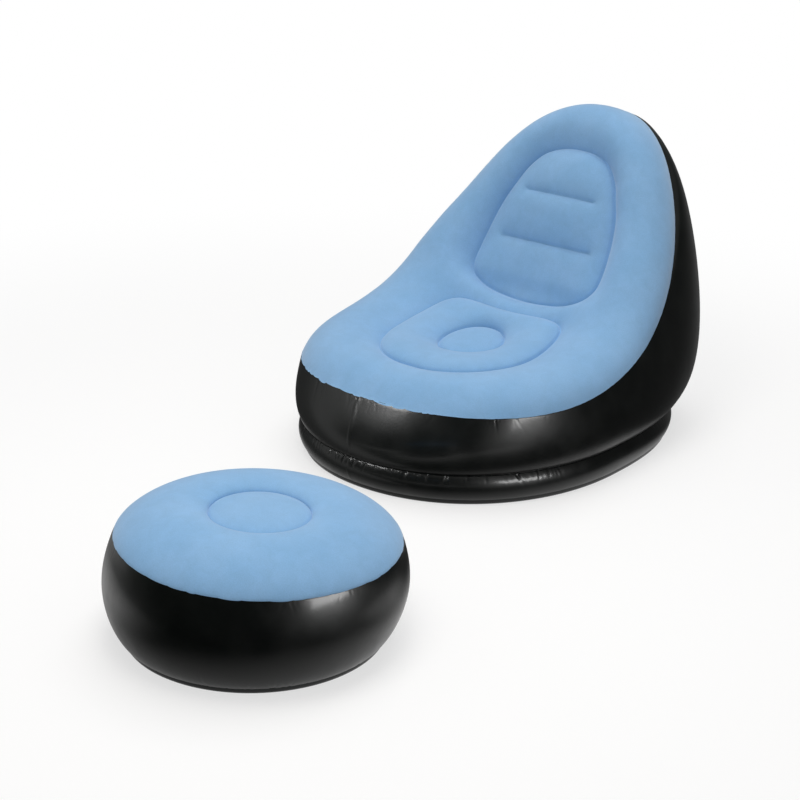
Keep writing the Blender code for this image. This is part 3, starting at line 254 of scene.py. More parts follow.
# How finely the sheets are drawn
STATIONS = 1400
UPPER_WALL_ROWS = 34
BASE_WALL_ROWS = 32
STOOL_STATIONS = 1000
STOOL_WALL_ROWS = 40
TOP_STEP = 0.0065
LOOP_STEP = 0.0040
RING_OFFSETS = (0.0014, 0.0035, 0.0065, 0.0105)
TOP_HALF_COLUMNS = 70
MEDIAN_STEPS = 12
MEDIAN_EASE_STEPS = 14
LOOP_STEPS = 24
OVAL_POINTS = 240
SECTIONS = 500
SECTION_TURNS = 3000
BATCH = 4000
CURL_STEPS = 6
STOOL_RING_ROWS = 54
STOOL_CENTRE_ROWS = 22
STOOL_CENTRE_ROW_POWER = 1.15
SMOOTH_BELOW_DEGREES = 60.0
SMALLEST = 1e-9
SHORTEST = 1e-6

Outline = namedtuple("Outline", "half_width centre_y front_reach rear_reach front_exponent rear_exponent")
SEAM = Outline(SEAM_HALF_WIDTH, SEAM_CENTRE_Y, SEAM_FRONT_REACH, SEAM_REAR_REACH,
               SEAM_FRONT_EXPONENT, SEAM_REAR_EXPONENT)
WAIST = Outline(WAIST_HALF_WIDTH, WAIST_CENTRE_Y, WAIST_FRONT_REACH, WAIST_REAR_REACH,
                BASE_FRONT_EXPONENT, BASE_REAR_EXPONENT)
FOOT = Outline(FOOT_HALF_WIDTH, WAIST_CENTRE_Y, FOOT_FRONT_REACH, FOOT_REAR_REACH,
               BASE_FRONT_EXPONENT, BASE_REAR_EXPONENT)
UP = np.array((0.0, 0.0, 1.0))


# Small helpers on arrays

def unit(vectors):
    return vectors / np.linalg.norm(vectors, axis=-1, keepdims=True)


def signed_power(value, power):
    return np.copysign(np.abs(value) ** power, value)


def smooth_step(value, low, high):
    t = np.clip((value - low) / (high - low), 0.0, 1.0)
    return t * t * (3.0 - 2.0 * t)


def pillow(share, power):
    share = np.clip(share, 0.0, 1.0)
    return (4.0 * share * (1.0 - share)) ** power


def turns(count):
    """Angles round an outline, counterclockwise from the rear."""
    return (np.arange(count) + 0.5) * 2.0 * math.pi / count


def path_lengths(points, closed=False):
    """Distance along a line at each of its points, and its whole length when closed."""
    spans = np.linalg.norm(np.roll(points, -1, axis=0) - points, axis=1)
    lengths = np.concatenate(([0.0], np.cumsum(spans)))
    return (lengths[:-1], lengths[-1]) if closed else lengths[:-1]


def folded(folds, along, length, away):
    """Signed height of random folds by distance along a closed weld of this length and away from it."""
    rng = np.random.default_rng(folds.seed)
    count = max(int(length / folds.spacing), 1)
    places = rng.uniform(0.0, length, count)
    depths = folds.depth * rng.uniform(0.25, 1.0, count) ** 2.0
    reaches = folds.reach * rng.uniform(0.35, 1.3, count)
    widths = folds.width * rng.uniform(0.55, 1.5, count)
    slants = rng.normal(0.0, 0.35, count)
    result = np.zeros(np.broadcast(along, away).shape)
    for at, depth, reach, width, slant in zip(places, depths, reaches, widths, slants):
        offset = (along - at - slant * away + 0.5 * length) % length - 0.5 * length
        x = offset / width
        result -= depth * np.exp(-x * x) * (1.0 - 1.1 * x * x) * np.exp(-away / reach)
    return result * (1.0 - np.exp(-away / (0.35 * widths.mean())))


# Outlines and walls of the chair

def outline_points(turn, outline, z):
    """Points and outward directions of a plan outline at a height."""
    side, along = -np.sin(turn), np.cos(turn)
    rear = along > 0.0
    reach = np.where(rear, outline.rear_reach, outline.front_reach)
    exponent = np.where(rear, outline.rear_exponent, outline.front_exponent)
    steep = 2.0 * (exponent - 1.0) / exponent
    zero = np.zeros_like(side)
    points = np.stack((outline.half_width * signed_power(side, 2.0 / exponent),
                       outline.centre_y + reach * signed_power(along, 2.0 / exponent), zero + z), -1)
    outward = unit(np.stack((signed_power(side, steep) / outline.half_width,
                             signed_power(along, steep) / reach, zero), -1))
    return points, outward


def seam_points(turn):
    points, outward = outline_points(turn, SEAM, 0.0)
    share = np.maximum(points[..., 1] - SEAM_CENTRE_Y + SEAM_FRONT_REACH, 0.0)
    share /= SEAM_FRONT_REACH + SEAM_REAR_REACH
    points[..., 2] = SEAM_LOW_Z + SEAM_RISE * share ** SEAM_RISE_POWER
    return points, outward


def swollen_wall(low, high, outward, share, swell, powers, peak_share):
    """Wall points by row and station, between its two weld lines."""
    chord = high - low
    lean = np.sum(chord * outward, -1, keepdims=True)
    square = unit(outward * chord[..., 2:] - UP * lean)
    moved = (share ** (math.log(0.5) / math.log(peak_share)))[:, None]
    power = np.where(moved < 0.5, powers[0], powers[1])
    height = np.abs(np.sin(math.pi * moved)) ** power * swell
    return low + chord * share[:, None, None] + square * height[..., None]


def row_shares(count, lean=0.82):
    """Shares from 0 to 1, closer together near both ends."""
    t = np.arange(count + 1) / count
    return (1.0 - lean) * t + lean * 0.5 * (1.0 - np.cos(math.pi * t))


def grid_normals(rows):
    """Outward normals of closed rows of points that go up and counterclockwise."""
    around = np.roll(rows, -1, axis=1) - np.roll(rows, 1, axis=1)
    up = np.gradient(rows, axis=0)
    return unit(np.cross(around, up))


def ring_faces(row_count, count, start=0):
    """Quads between closed rows of points."""
    i = np.arange(count)
    j = np.arange(row_count - 1)[:, None]
    low = start + j * count
    quads = np.stack((low + i, low + (i + 1) % count, low + count + (i + 1) % count, low + count + i), -1)
    return quads.reshape(-1, 4)


# Seams gathered into their welds

def scallops(along, length, busy, seed):
    """How far the seam runs down its wall between the cusps; busy is 1 where it is worst."""
    rng = np.random.default_rng(seed)
    cusps = np.cumsum(rng.uniform(0.4, 1.7, int(1.3 * length / SCALLOP_SPACING)) * SCALLOP_SPACING)
    cusps = np.concatenate(([0.0], cusps[cusps < length - 0.5 * SCALLOP_SPACING], [length]))
    depths = SCALLOP_DEPTH * rng.uniform(0.25, 1.0, len(cusps))
    index = np.clip(np.searchsorted(cusps, along, side="right") - 1, 0, len(cusps) - 2)
    t = (along - cusps[index]) / (cusps[index + 1] - cusps[index])
    t = t ** np.where(index % 2 == 0, 0.7, 1.35)
    return depths[index] * pillow(t, SCALLOP_POWER) * quieter(SCALLOP_QUIET_SHARE, busy)


def quieter(share, busy):
    """1 where a seam is busy, falling to a share where it is quiet."""
    return share + (1.0 - share) * busy


def spell(turn, start, full, fade, stop):
    """1 between two turns of an outline, in degrees, running out to 0 on either side."""
    degrees = np.degrees(turn)
    return smooth_step(degrees, start, full) * (1.0 - smooth_step(degrees, fade, stop))


def column_lengths(rows, from_top):
    """Distance of each wall point from the top or the bottom of its column."""
    order = rows[::-1] if from_top else rows
    spans = np.linalg.norm(np.diff(order, axis=0), axis=-1)
    away = np.vstack((np.zeros(rows.shape[1]), np.cumsum(spans, axis=0)))
    return away[::-1] if from_top else away


def seam_dips(rows, depth):
    """Moves of the wall points, and of the seam itself, that lower the seam by a depth."""
    down = unit(rows[-3] - rows[-1])
    fade = np.exp(-(column_lengths(rows, True) / SCALLOP_REACH) ** 2)
    return (down * depth[:, None])[None] * fade[..., None], down * depth[:, None]


def lapped(turn, along):
    """Height over the lap weld of a wall, where one end of its strip lies on the other."""
    offset = along - along[np.argmin(np.abs(turn - math.radians(LAP_TURN)))]
    start = smooth_step(offset, -LAP_EDGE, LAP_EDGE)
    return LAP_HEIGHT * (start - smooth_step(offset, LAP_WIDTH - 4.0 * LAP_EDGE, LAP_WIDTH + 4.0 * LAP_EDGE))


# Flocked top of the chair

def curve_through(points, steps):
    """Smooth curve through points, with steps on each span."""
    ends = np.vstack((2.0 * points[0] - points[1], points, 2.0 * points[-1] - points[-2]))
    t = (np.arange(steps) / steps)[:, None]
    result = []
    for before, start, stop, after in zip(ends, ends[1:], ends[2:], ends[3:]):
        result.append(0.5 * (2.0 * start + (stop - before) * t
                             + (2.0 * before - 5.0 * start + 4.0 * stop - after) * t * t
                             + (3.0 * start - before - 3.0 * stop + after) * t ** 3))
    return np.vstack(result + [points[-1]])


def even_loop(line, step):
    """Evenly spaced points round a closed line."""
    lengths, total = path_lengths(line, closed=True)
    count = int(round(total / step))
    want = np.arange(count) * total / count
    closed = np.vstack((line, line[:1]))
    known = np.append(lengths, total)
    return np.stack((np.interp(want, known, closed[:, 0]), np.interp(want, known, closed[:, 1])), -1)


def mirrored_loop(shares, start, length, half_width):
    half = np.array([(x_share * half_width, start + y_share * length) for x_share, y_share in shares])
    loop = np.vstack((half, half[-2:0:-1] * (-1.0, 1.0)))
    dense = curve_through(np.vstack((loop[-1], loop, loop[:2])), LOOP_STEPS)[LOOP_STEPS:-LOOP_STEPS - 1]
    return even_loop(dense, LOOP_STEP)


def offset_loop(loop, outward):
    along = unit(np.roll(loop, -1, axis=0) - np.roll(loop, 1, axis=0))
    return loop + np.stack((along[:, 1], -along[:, 0]), -1) * outward


def distances(points, line, closed):
    """Least distance of each point to a line."""
    starts = line if closed else line[:-1]
    stops = np.roll(line, -1, axis=0) if closed else line[1:]
    spans = stops - starts
    squares = np.sum(spans * spans, -1)
    result = []
    for part in np.array_split(points, max(len(points) // BATCH, 1)):
        to_point = part[:, None, :] - starts[None]
        t = np.clip(np.sum(to_point * spans, -1) / squares, 0.0, 1.0)
        result.append(np.linalg.norm(to_point - spans * t[..., None], axis=-1).min(1))
    return np.concatenate(result)


def nearest_station(points, line):
    result = []
    for part in np.array_split(points, max(2 * len(points) // BATCH, 1)):
        result.append(np.argmin(np.sum((part[:, None, :] - line[None]) ** 2, -1), axis=1))
    return np.concatenate(result)


def inside(points, loop):
    stops = np.roll(loop, -1, axis=0)
    result = []
    for part in np.array_split(points, max(len(points) // BATCH, 1)):
        x, y = part[:, :1], part[:, 1:]
        spans_y = (loop[:, 1] > y) != (stops[:, 1] > y)
        rise = np.where(stops[:, 1] == loop[:, 1], 1.0, stops[:, 1] - loop[:, 1])
        crossing = loop[:, 0] + (stops[:, 0] - loop[:, 0]) * (y - loop[:, 1]) / rise
        result.append(np.sum(spans_y & (x < crossing), 1) % 2 == 1)
    return np.concatenate(result)


def soft_rise(away, reach):
    """0 at a weld, running up steeply and then levelling off at 1."""
    return 1.0 - np.exp(-(away / reach) ** PAD_EDGE_POWER)


def blended_least(first, second):
    """Nearly the smaller of two distances, without a crease where they are the same."""
    first, second = np.maximum(first, SHORTEST), np.maximum(second, SHORTEST)
    return (first ** -CREASE_POWER + second ** -CREASE_POWER) ** (-1.0 / CREASE_POWER)


class FlockedTop:
    """Flocked sheet of the chair, drawn flat as (across, length) and then shaped."""

    def __init__(self):
        self.read_median()
        self.read_sections()
        self.turns = turns(STATIONS)
        seam, _ = seam_points(self.turns)
        self.edge = np.stack((seam[:, 0], self.seam_length(self.turns)), -1)
        self.seat_pad = mirrored_loop(SEAT_PAD_SHARES, SEAT_PAD_START, SEAT_PAD_LENGTH, SEAT_PAD_HALF_WIDTH)
        self.back_pad = mirrored_loop(BACK_PAD_SHARES, BACK_PAD_START, BACK_PAD_LENGTH, BACK_PAD_HALF_WIDTH)
        angle = np.linspace(0.0, 2.0 * math.pi, OVAL_POINTS, endpoint=False)
        middle = CENTRE_START + 0.5 * CENTRE_LENGTH
        self.centre = even_loop(np.stack((CENTRE_HALF_WIDTH * np.sin(angle),
                                          middle - 0.5 * CENTRE_LENGTH * np.cos(angle)), -1), LOOP_STEP)
        self.slits = []
        for half, at in ((LOWER_SLIT_HALF_LENGTH, LOWER_SLIT_AT), (UPPER_SLIT_HALF_LENGTH, UPPER_SLIT_AT)):
            across = np.linspace(-half, half, int(2.0 * half / LOOP_STEP))
            self.slits.append(np.stack((across, np.full_like(across, at)), -1))

    def read_median(self):
        """Line down the middle of the sheet, as (y, z) by length from the front seam."""
        ends, _ = seam_points(np.array((math.pi, 0.0)))
        front, rear = ends[:, 1:]
        points = front + (rear - front) * np.array(MEDIAN_SHARES)
        self.median = curve_through(points, MEDIAN_STEPS)
        self.median_lengths = path_lengths(self.median)
        self.total = self.median_lengths[-1]
        index = np.arange(len(self.median))
        low = np.maximum(index - MEDIAN_EASE_STEPS, 0)
        high = np.minimum(index + MEDIAN_EASE_STEPS, len(index) - 1)
        self.median_ways = unit(self.median[high] - self.median[low])

    def at(self, length):
        """Point and direction of the median, both as (y, z)."""
        length = np.clip(length, 0.0, self.total)
        point = [np.interp(length, self.median_lengths, self.median[:, k]) for k in (0, 1)]
        way = [np.interp(length, self.median_lengths, self.median_ways[:, k]) for k in (0, 1)]
        return np.stack(point, -1), unit(np.stack(way, -1))

    def broad_at(self, length):
        """Point and direction of the median with its bends eased, as the rims at the sides follow it."""
        shares = np.linspace(-1.0, 1.0, BROAD_STEPS + 2)[1:-1]
        weights = (1.0 - np.abs(shares)) / np.sum(1.0 - np.abs(shares))
        points, ways = 0.0, 0.0
        for share, weight in zip(shares, weights):
            there = length + share * BROAD_REACH
            point, way = self.at(there)
            beyond = there - np.clip(there, 0.0, self.total)
            points = points + weight * (point + way * beyond[:, None])
            ways = ways + weight * way
        return points, unit(ways)

    def read_sections(self):
        """Turn at which the cross section at each length meets the seam."""
        self.section_lengths = np.linspace(0.0, self.total, SECTIONS)
        turn = np.linspace(0.0, math.pi, SECTION_TURNS)
        seam, _ = seam_points(turn)
        point, way = self.at(self.section_lengths)
        ahead = np.sum((seam[None, :, 1:] - point[:, None]) * way[:, None], -1)
        first = np.argmax(ahead < 0.0, axis=1)
        first = np.where((ahead < 0.0).any(1), first, len(turn) - 1)
        before = np.maximum(first - 1, 0)
        rows = np.arange(len(first))
        a, b = ahead[rows, before], ahead[rows, first]
        share = np.clip(a / np.where(a == b, 1.0, a - b), 0.0, 1.0)
        self.section_turns = turn[before] + (turn[first] - turn[before]) * share

    def seam_length(self, turn):
        """Length of the cross section that meets the seam at each turn."""
        folded = np.where(turn > math.pi, 2.0 * math.pi - turn, turn)
        order = np.argsort(self.section_turns)
        return np.interp(folded, self.section_turns[order], self.section_lengths[order])

    def backness(self, length):
        return smooth_step(length, CENTRE_START + CENTRE_LENGTH, LOWER_SLIT_AT)

    def crown(self, flat, edge):
        """How far the sheet swells off its welds."""
        seat = np.maximum(distances(flat, self.seat_pad, True) - WELD_HALF_WIDTH, 0.0)
        centre = np.maximum(distances(flat, self.centre, True) - WELD_HALF_WIDTH, 0.0)
        back = np.maximum(distances(flat, self.back_pad, True) - WELD_HALF_WIDTH, 0.0)
        self.weld_distance = np.minimum(np.minimum(seat, back), centre)
        pads = blended_least(seat, back)
        share = edge / np.maximum(edge + pads, SMALLEST)
        height = RIM_FRONT_CROWN + (RIM_BACK_CROWN - RIM_FRONT_CROWN) * self.backness(flat[:, 1])
        height = height + HIP_CROWN * np.exp(-((flat[:, 1] - HIP_AT) / HIP_REACH) ** 2)
        height = height * np.where(share < 0.5, pillow(share, RIM_POWER), pillow(share, RIM_PAD_POWER))
        in_seat, in_back = inside(flat, self.seat_pad), inside(flat, self.back_pad)
        in_centre = inside(flat, self.centre)
        ring = SEAT_RING_CROWN * pillow(seat / np.maximum(seat + centre, SMALLEST), PAD_POWER)
        height = np.where(in_seat, ring, height)
        dome = CENTRE_CROWN * pillow(0.5 * np.minimum(centre / CENTRE_HALF_WIDTH, 1.0), PAD_POWER)
        height = np.where(in_centre, dome, height)
        pad = BACK_PAD_CROWN * soft_rise(back, PAD_EDGE_ROUND)
        for slit in self.slits:
            away = np.maximum(distances(flat, slit, False) - WELD_HALF_WIDTH, 0.0)
            pad = pad * soft_rise(away, PAD_EDGE_ROUND)
            self.weld_distance = np.minimum(self.weld_distance, away)
        return np.where(in_back, pad, height)

    def shaped(self, flat, crown, edge):
        """Points of the swollen sheet above flat points."""
        median, tangent = self.at(flat[:, 1])
        broad, broad_tangent = self.broad_at(flat[:, 1])
        spread = smooth_step(np.abs(flat[:, 0]), BROAD_FROM_X, BROAD_TO_X)[:, None]
        median = median + (broad - median) * spread
        tangent = unit(tangent + (broad_tangent - tangent) * spread)
        turn = np.interp(flat[:, 1], self.section_lengths, self.section_turns)
        seam, outward = seam_points(turn)
        half = np.maximum(np.abs(seam[:, 0]), SMALLEST)
        across = np.minimum(np.abs(flat[:, 0]) / half, 1.0) ** SECTION_POWER
        level = median + (seam[:, 1:] - median) * across[:, None]
        cup = SEAT_CUP + (LOWER_BACK_CUP - SEAT_CUP) * self.backness(flat[:, 1])
        cup = cup + (UPPER_BACK_CUP - cup) * smooth_step(flat[:, 1], BACK_PAD_START, UPPER_SLIT_AT)
        lift = cup * (flat[:, 0] / SEAM_HALF_WIDTH) ** 2 * (1.0 - np.exp(-edge / CUP_FADE)) + crown
        outward[:, 0] = np.abs(outward[:, 0]) * np.where(flat[:, 0] > 0.0, 1.0, -1.0)
        middle_way = np.stack((np.zeros(len(flat)), -tangent[:, 1], tangent[:, 0]), -1)
        way = unit(middle_way + (unit(outward + UP) - middle_way) * across[:, None] ** WAY_POWER)
        return np.stack((flat[:, 0], level[:, 0], level[:, 1]), -1) + way * lift[:, None]

    def flat_mesh(self):
        """Flat points, with the welds as lines of the mesh, and its triangles."""
        loops = [self.edge, self.seat_pad, self.centre, self.back_pad]
        lines, points, count = [], [], 0
        for loop in loops:
            index = np.arange(len(loop))
            lines.append(np.stack((count + index, count + (index + 1) % len(loop)), -1))
            points.append(loop)
            count += len(loop)
        for slit in self.slits:
            index = np.arange(len(slit) - 1)
            lines.append(np.stack((count + index, count + index + 1), -1))
            points.append(slit)
            count += len(slit)
        for offset in RING_OFFSETS:
            for loop in loops[1:]:
                points += [offset_loop(loop, offset), offset_loop(loop, -offset)]
            points.append(offset_loop(self.edge, -offset))
            for slit in self.slits:
                points += [slit + (0.0, offset), slit - (0.0, offset)]
        row_step = TOP_STEP * math.sqrt(0.75)
        row, column = np.mgrid[1:int(self.total / row_step) + 1, -TOP_HALF_COLUMNS:TOP_HALF_COLUMNS + 1]
        grid = np.stack(((column + 0.5 * (row % 2)) * TOP_STEP, row * row_step), -1).reshape(-1, 2)
        grid = grid[inside(grid, self.edge)]
        clear = RING_OFFSETS[-1] + 0.5 * TOP_STEP
        for loop, closed in [(loop, True) for loop in loops] + [(slit, False) for slit in self.slits]:
            grid = grid[distances(grid, loop, closed) > clear]
        flats = np.vstack(points + [grid])
        flats = [Vector(point) for point in flats.tolist()]
        lines = [tuple(line) for line in np.vstack(lines).tolist()]
        flats, _, triangles, _, _, _ = delaunay_2d_cdt(flats, lines, [], 0, SHORTEST)
        flats = np.array([tuple(point) for point in flats])
        triangles = np.array([tuple(corners) for corners in triangles])
        middles = flats[triangles].mean(1)
        return flats, triangles[inside(middles, self.edge)]


# Sheets as closed pieces

Piece = namedtuple("Piece", "name body slot finish nodes")


def face_normal_sums(points, triangles):
    """Unit normals at the points of a triangle mesh."""
    a, b, c = (points[triangles[:, k]] for k in range(3))
    normals = np.cross(b - a, c - a)
    corners = triangles.ravel()
    sums = [np.bincount(corners, np.repeat(normals[:, k], 3), len(points)) for k in range(3)]
    return unit(np.stack(sums, -1))


def split_quads(quads):
    return np.vstack((quads[:, :3], quads[:, [0, 2, 3]]))


def smoothed(thing):
    bpy.context.view_layer.objects.active = thing
    thing.select_set(True)
    bpy.ops.object.shade_smooth_by_angle(angle=math.radians(SMOOTH_BELOW_DEGREES))
    thing.select_set(False)


def thick_piece(piece, points, faces, borders, thickness):
    """Closed solid of a sheet whose outer face is given.

    borders is a list of (closed rows of border points in face order, inward directions).
    """
    count = len(points)
    triangles = split_quads(faces) if faces.shape[1] == 4 else faces
    ways = -face_normal_sums(points, triangles)
    rims = []
    for row, inward in borders:
        ways[row] = inward
        following = np.roll(row, -1)
        rims.append(np.stack((following, row, row + count, following + count), -1))
    mesh = bpy.data.meshes.new(piece.name)
    inner = points + ways * thickness
    shell = [face for part in (faces, faces[:, ::-1] + count, *rims) for face in part.tolist()]
    mesh.from_pydata(np.vstack((points, inner)).tolist(), [], shell)
    thing = bpy.data.objects.new(piece.name, mesh)
    bpy.context.scene.collection.objects.link(thing)
    smoothed(thing)
    mesh.materials.append(piece.finish)
    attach(thing, piece.body)
    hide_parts(*piece.nodes)
    return thing


def wall_sheet(piece, rows, low_ways, high_ways):
    """Closed piece of a wall whose rows of points run up between two welds."""
    count = rows.shape[1]
    station = np.arange(count)
    borders = [(station[::-1], low_ways), ((len(rows) - 1) * count + station, high_ways)]
    return thick_piece(piece, rows.reshape(-1, 3), ring_faces(len(rows), count), borders, WALL_SHEET)


def flattened(rows, at, way):
    """Wall points drawn onto the plane of a valve's flange."""
    way = unit(np.array(way))
    offset = rows - np.array(at)
    height = offset @ way
    away = np.linalg.norm(offset - height[..., None] * way, axis=-1)
    fade = 1.0 - smooth_step(away, VALVE_FLAT_RADIUS, VALVE_FADE_RADIUS)
    fade = fade * (np.abs(height) < VALVE_FADE_RADIUS)
    return rows - way * (height * fade)[..., None]


def cut_valve_hole(wall, at, way):
    turn = Vector(way).to_track_quat("Z", "Y").to_euler()
    bpy.ops.mesh.primitive_cylinder_add(vertices=VALVE_HOLE_SIDES, radius=VALVE_HOLE_RADIUS,
                                        depth=VALVE_CUT_LENGTH, location=at, rotation=turn)
    cutter = bpy.context.object
    bpy.context.view_layer.objects.active = wall
    hole = wall.modifiers.new("valve hole", "BOOLEAN")
    hole.operation = "DIFFERENCE"
    hole.solver = "EXACT"
    hole.object = cutter
    bpy.ops.object.modifier_apply(modifier=hole.name)
    bpy.data.objects.remove(cutter)
    bpy.ops.object.select_all(action="DESELECT")
    smoothed(wall)


# Materials

def paint(code):
    """Linear colour of an sRGB hex value."""
    shares = [int(code[k:k + 2], 16) / 255.0 for k in (1, 3, 5)]
    linear = [share / 12.92 if share <= 0.04045 else ((share + 0.055) / 1.055) ** 2.4 for share in shares]
    return (*linear, 1.0)


def add(tree, kind, inputs, **settings):
    """New node of a kind; inputs are values or sockets to link from, by name or number."""
    node = tree.nodes.new(kind)
    for name, value in settings.items():
        setattr(node, name, value)
    for key, value in inputs.items():
        if isinstance(value, bpy.types.NodeSocket):
            tree.links.new(value, node.inputs[key])
        else:
            node.inputs[key].default_value = value
    return node


def new_material(name, colour):
    """Empty material with its tree and its object coordinates."""
    material = bpy.data.materials.new(name)
    material.use_nodes = True
    material.diffuse_color = colour
    tree = material.node_tree
    tree.nodes.clear()
    return material, tree, add(tree, "ShaderNodeTexCoord", {}).outputs["Object"]


def noise(tree, where, millimetres, detail=2.0, distortion=0.0):
    """Noise whose features are about this large."""
    return add(tree, "ShaderNodeTexNoise", {
        "Vector": where, "Scale": 1000.0 / millimetres, "Detail": detail,
        "Distortion": distortion}).outputs["Fac"]


def ranged(tree, value, low, high, to_low=0.0, to_high=1.0, smooth=False):
    """Value brought from one range to another and kept inside it."""
    return add(tree, "ShaderNodeMapRange", {
        "Value": value, "From Min": low, "From Max": high, "To Min": to_low, "To Max": to_high},
               interpolation_type="SMOOTHSTEP" if smooth else "LINEAR").outputs["Result"]


def reckoned(tree, operation, first, second):
    return add(tree, "ShaderNodeMath", {0: first, 1: second}, operation=operation).outputs["Value"]


def apart(tree, where, place):
    """Distance of each point from a place."""
    return add(tree, "ShaderNodeVectorMath", {0: where, 1: place}, operation="DISTANCE").outputs["Value"]


def blended(tree, share, first, second, blend="MIX"):
    """Colour between two others, or their product."""
    mix = add(tree, "ShaderNodeMix", {0: share, 6: first, 7: second}, data_type="RGBA", blend_type=blend)
    return mix.outputs[2]


def bumped(tree, height, strength, distance, **below):
    """Normal over a relief that is this deep, in metres."""
    return add(tree, "ShaderNodeBump", {
        "Strength": strength, "Distance": distance, "Height": height, **below}).outputs["Normal"]


def principled(material, inputs):
    """The material, with its surface made from these inputs."""
    shader = add(material.node_tree, "ShaderNodeBsdfPrincipled", inputs)
    add(material.node_tree, "ShaderNodeOutputMaterial", {"Surface": shader.outputs["BSDF"]})
    return material


def flocked_pvc():
    """PVC sheet flocked with short nylon fibres: matt, soft-edged, paler where the pile is brushed."""
    material, tree, where = new_material("flocked PVC", paint("#87b3dc"))
    patches = ranged(tree, noise(tree, where, 110.0), 0.35, 0.65)
    blue = blended(tree, patches, paint("#84b1da"), paint("#8ab5dd"))
    streak = ranged(tree, noise(tree, where, 32.0, 3.0, 0.6), 0.3, 0.7, 0.96, 1.03)
    # The pile is about 0.5 mm; its grain is drawn at 2.5 mm so that it shows.
    grain = noise(tree, where, 2.5)
    speck = ranged(tree, grain, 0.3, 0.7, 0.95, 1.05)
    colour = blended(tree, 1.0, blue, reckoned(tree, "MULTIPLY", streak, speck), "MULTIPLY")
    return principled(material, {
        "Base Color": colour, "Roughness": 0.95, "Specular IOR Level": 0.10, "Sheen Weight": 0.50,
        "Sheen Roughness": 0.5, "Sheen Tint": paint("#e6f0fa"), "Normal": bumped(tree, grain, 0.25, 0.0006)})


def calendered_pvc():
    """Black PVC sheet, rolled smooth: soft gloss, with a thin shinier skin that glints on small folds."""
    material, tree, where = new_material("calendered black PVC", paint("#0c0d0e"))
    sweep, fine = noise(tree, where, 60.0, 3.0), noise(tree, where, 6.0, 3.0)
    rough = ranged(tree, sweep, 0.3, 0.7, 0.34, 0.44)
    colour = blended(tree, ranged(tree, sweep, 0.3, 0.7), paint("#090d0c"), paint("#0f1311"))
    bump = bumped(tree, fine, 0.12, 0.0004, Normal=bumped(tree, sweep, 0.25, 0.002))
    return principled(material, {
        "Base Color": colour, "Roughness": rough, "Specular IOR Level": 0.28,
        "Coat Weight": 0.30, "Coat Roughness": 0.16, "Normal": bump})


def milky_pvc():
    """Clear PVC sheet of the ties: milky, because it is not polished."""
    material, tree, where = new_material("milky PVC sheet", paint("#c9cdcf"))
    colour = blended(tree, noise(tree, where, 40.0), paint("#bfc4c7"), paint("#d3d7d9"))
    return principled(material, {
        "Base Color": colour, "Roughness": 0.4, "IOR": 1.53, "Transmission Weight": 0.35})


def moulded_vinyl():
    """Soft moulded vinyl of the valves: satin, with the faint grain of its mould."""
    material, tree, where = new_material("moulded soft vinyl", paint("#17181a"))
    colour = blended(tree, noise(tree, where, 9.0), paint("#141517"), paint("#1c1d1f"))
    bump = bumped(tree, noise(tree, where, 0.8), 0.2, 0.0002)
    return principled(material, {"Base Color": colour, "Roughness": 0.48, "Normal": bump})


def seen_share(tree):
    """1 where the camera, a reflection or clear sheet sees the background, 0 where it only gives light."""
    path = add(tree, "ShaderNodeLightPath", {}).outputs
    seen = reckoned(tree, "MAXIMUM", path["Is Camera Ray"], path["Is Glossy Ray"])
    return reckoned(tree, "MAXIMUM", seen, path["Is Transmission Ray"])


def studio_floor():
    """Pale floor that keeps the object's shadow and runs into the white surround."""
    material, tree, where = new_material("pale studio floor", paint("#f4f4f4"))
    far = ranged(tree, apart(tree, where, SHADE_MIDDLE), 1.3, 3.0, smooth=True)
    seen = seen_share(tree)
    shown = reckoned(tree, "MULTIPLY", seen, ranged(tree, far, 0.0, 1.0, 0.65, 1.0))
    pale = blended(tree, seen, paint("#b4b4b4"), paint("#ffffff"))
    matt = add(tree, "ShaderNodeBsdfDiffuse", {"Color": pale})
    white = add(tree, "ShaderNodeEmission", {"Color": WHITE, "Strength": 1.0})
    both = add(tree, "ShaderNodeMixShader", {
        0: shown, 1: matt.outputs["BSDF"], 2: white.outputs["Emission"]})
    add(tree, "ShaderNodeOutputMaterial", {"Surface": both.outputs["Shader"]})
    return material


# Studio

def ray(azimuth, elevation):
    """Direction to a place by angles; azimuth runs from the front towards +X."""
    a, e = math.radians(azimuth), math.radians(elevation)
    return Vector((math.sin(a) * math.cos(e), -math.cos(a) * math.cos(e), math.sin(e)))


def softbox(name, lamp, reflected_only=False):
    """Soft studio light aimed at the object, or a card that only glossy surfaces show."""
    way = ray(lamp.azimuth, lamp.elevation)
    bpy.ops.object.light_add(type="AREA", location=Vector(LAMP_AIM) + way * lamp.distance)
    light = bpy.context.object
    light.name = name
    light.data.shape = "RECTANGLE"
    light.data.size, light.data.size_y = lamp.size
    light.data.energy = lamp.watts
    light.rotation_euler = way.to_track_quat("Z", "Y").to_euler()
    light.visible_camera = False
    light.visible_diffuse = not reflected_only
    return light


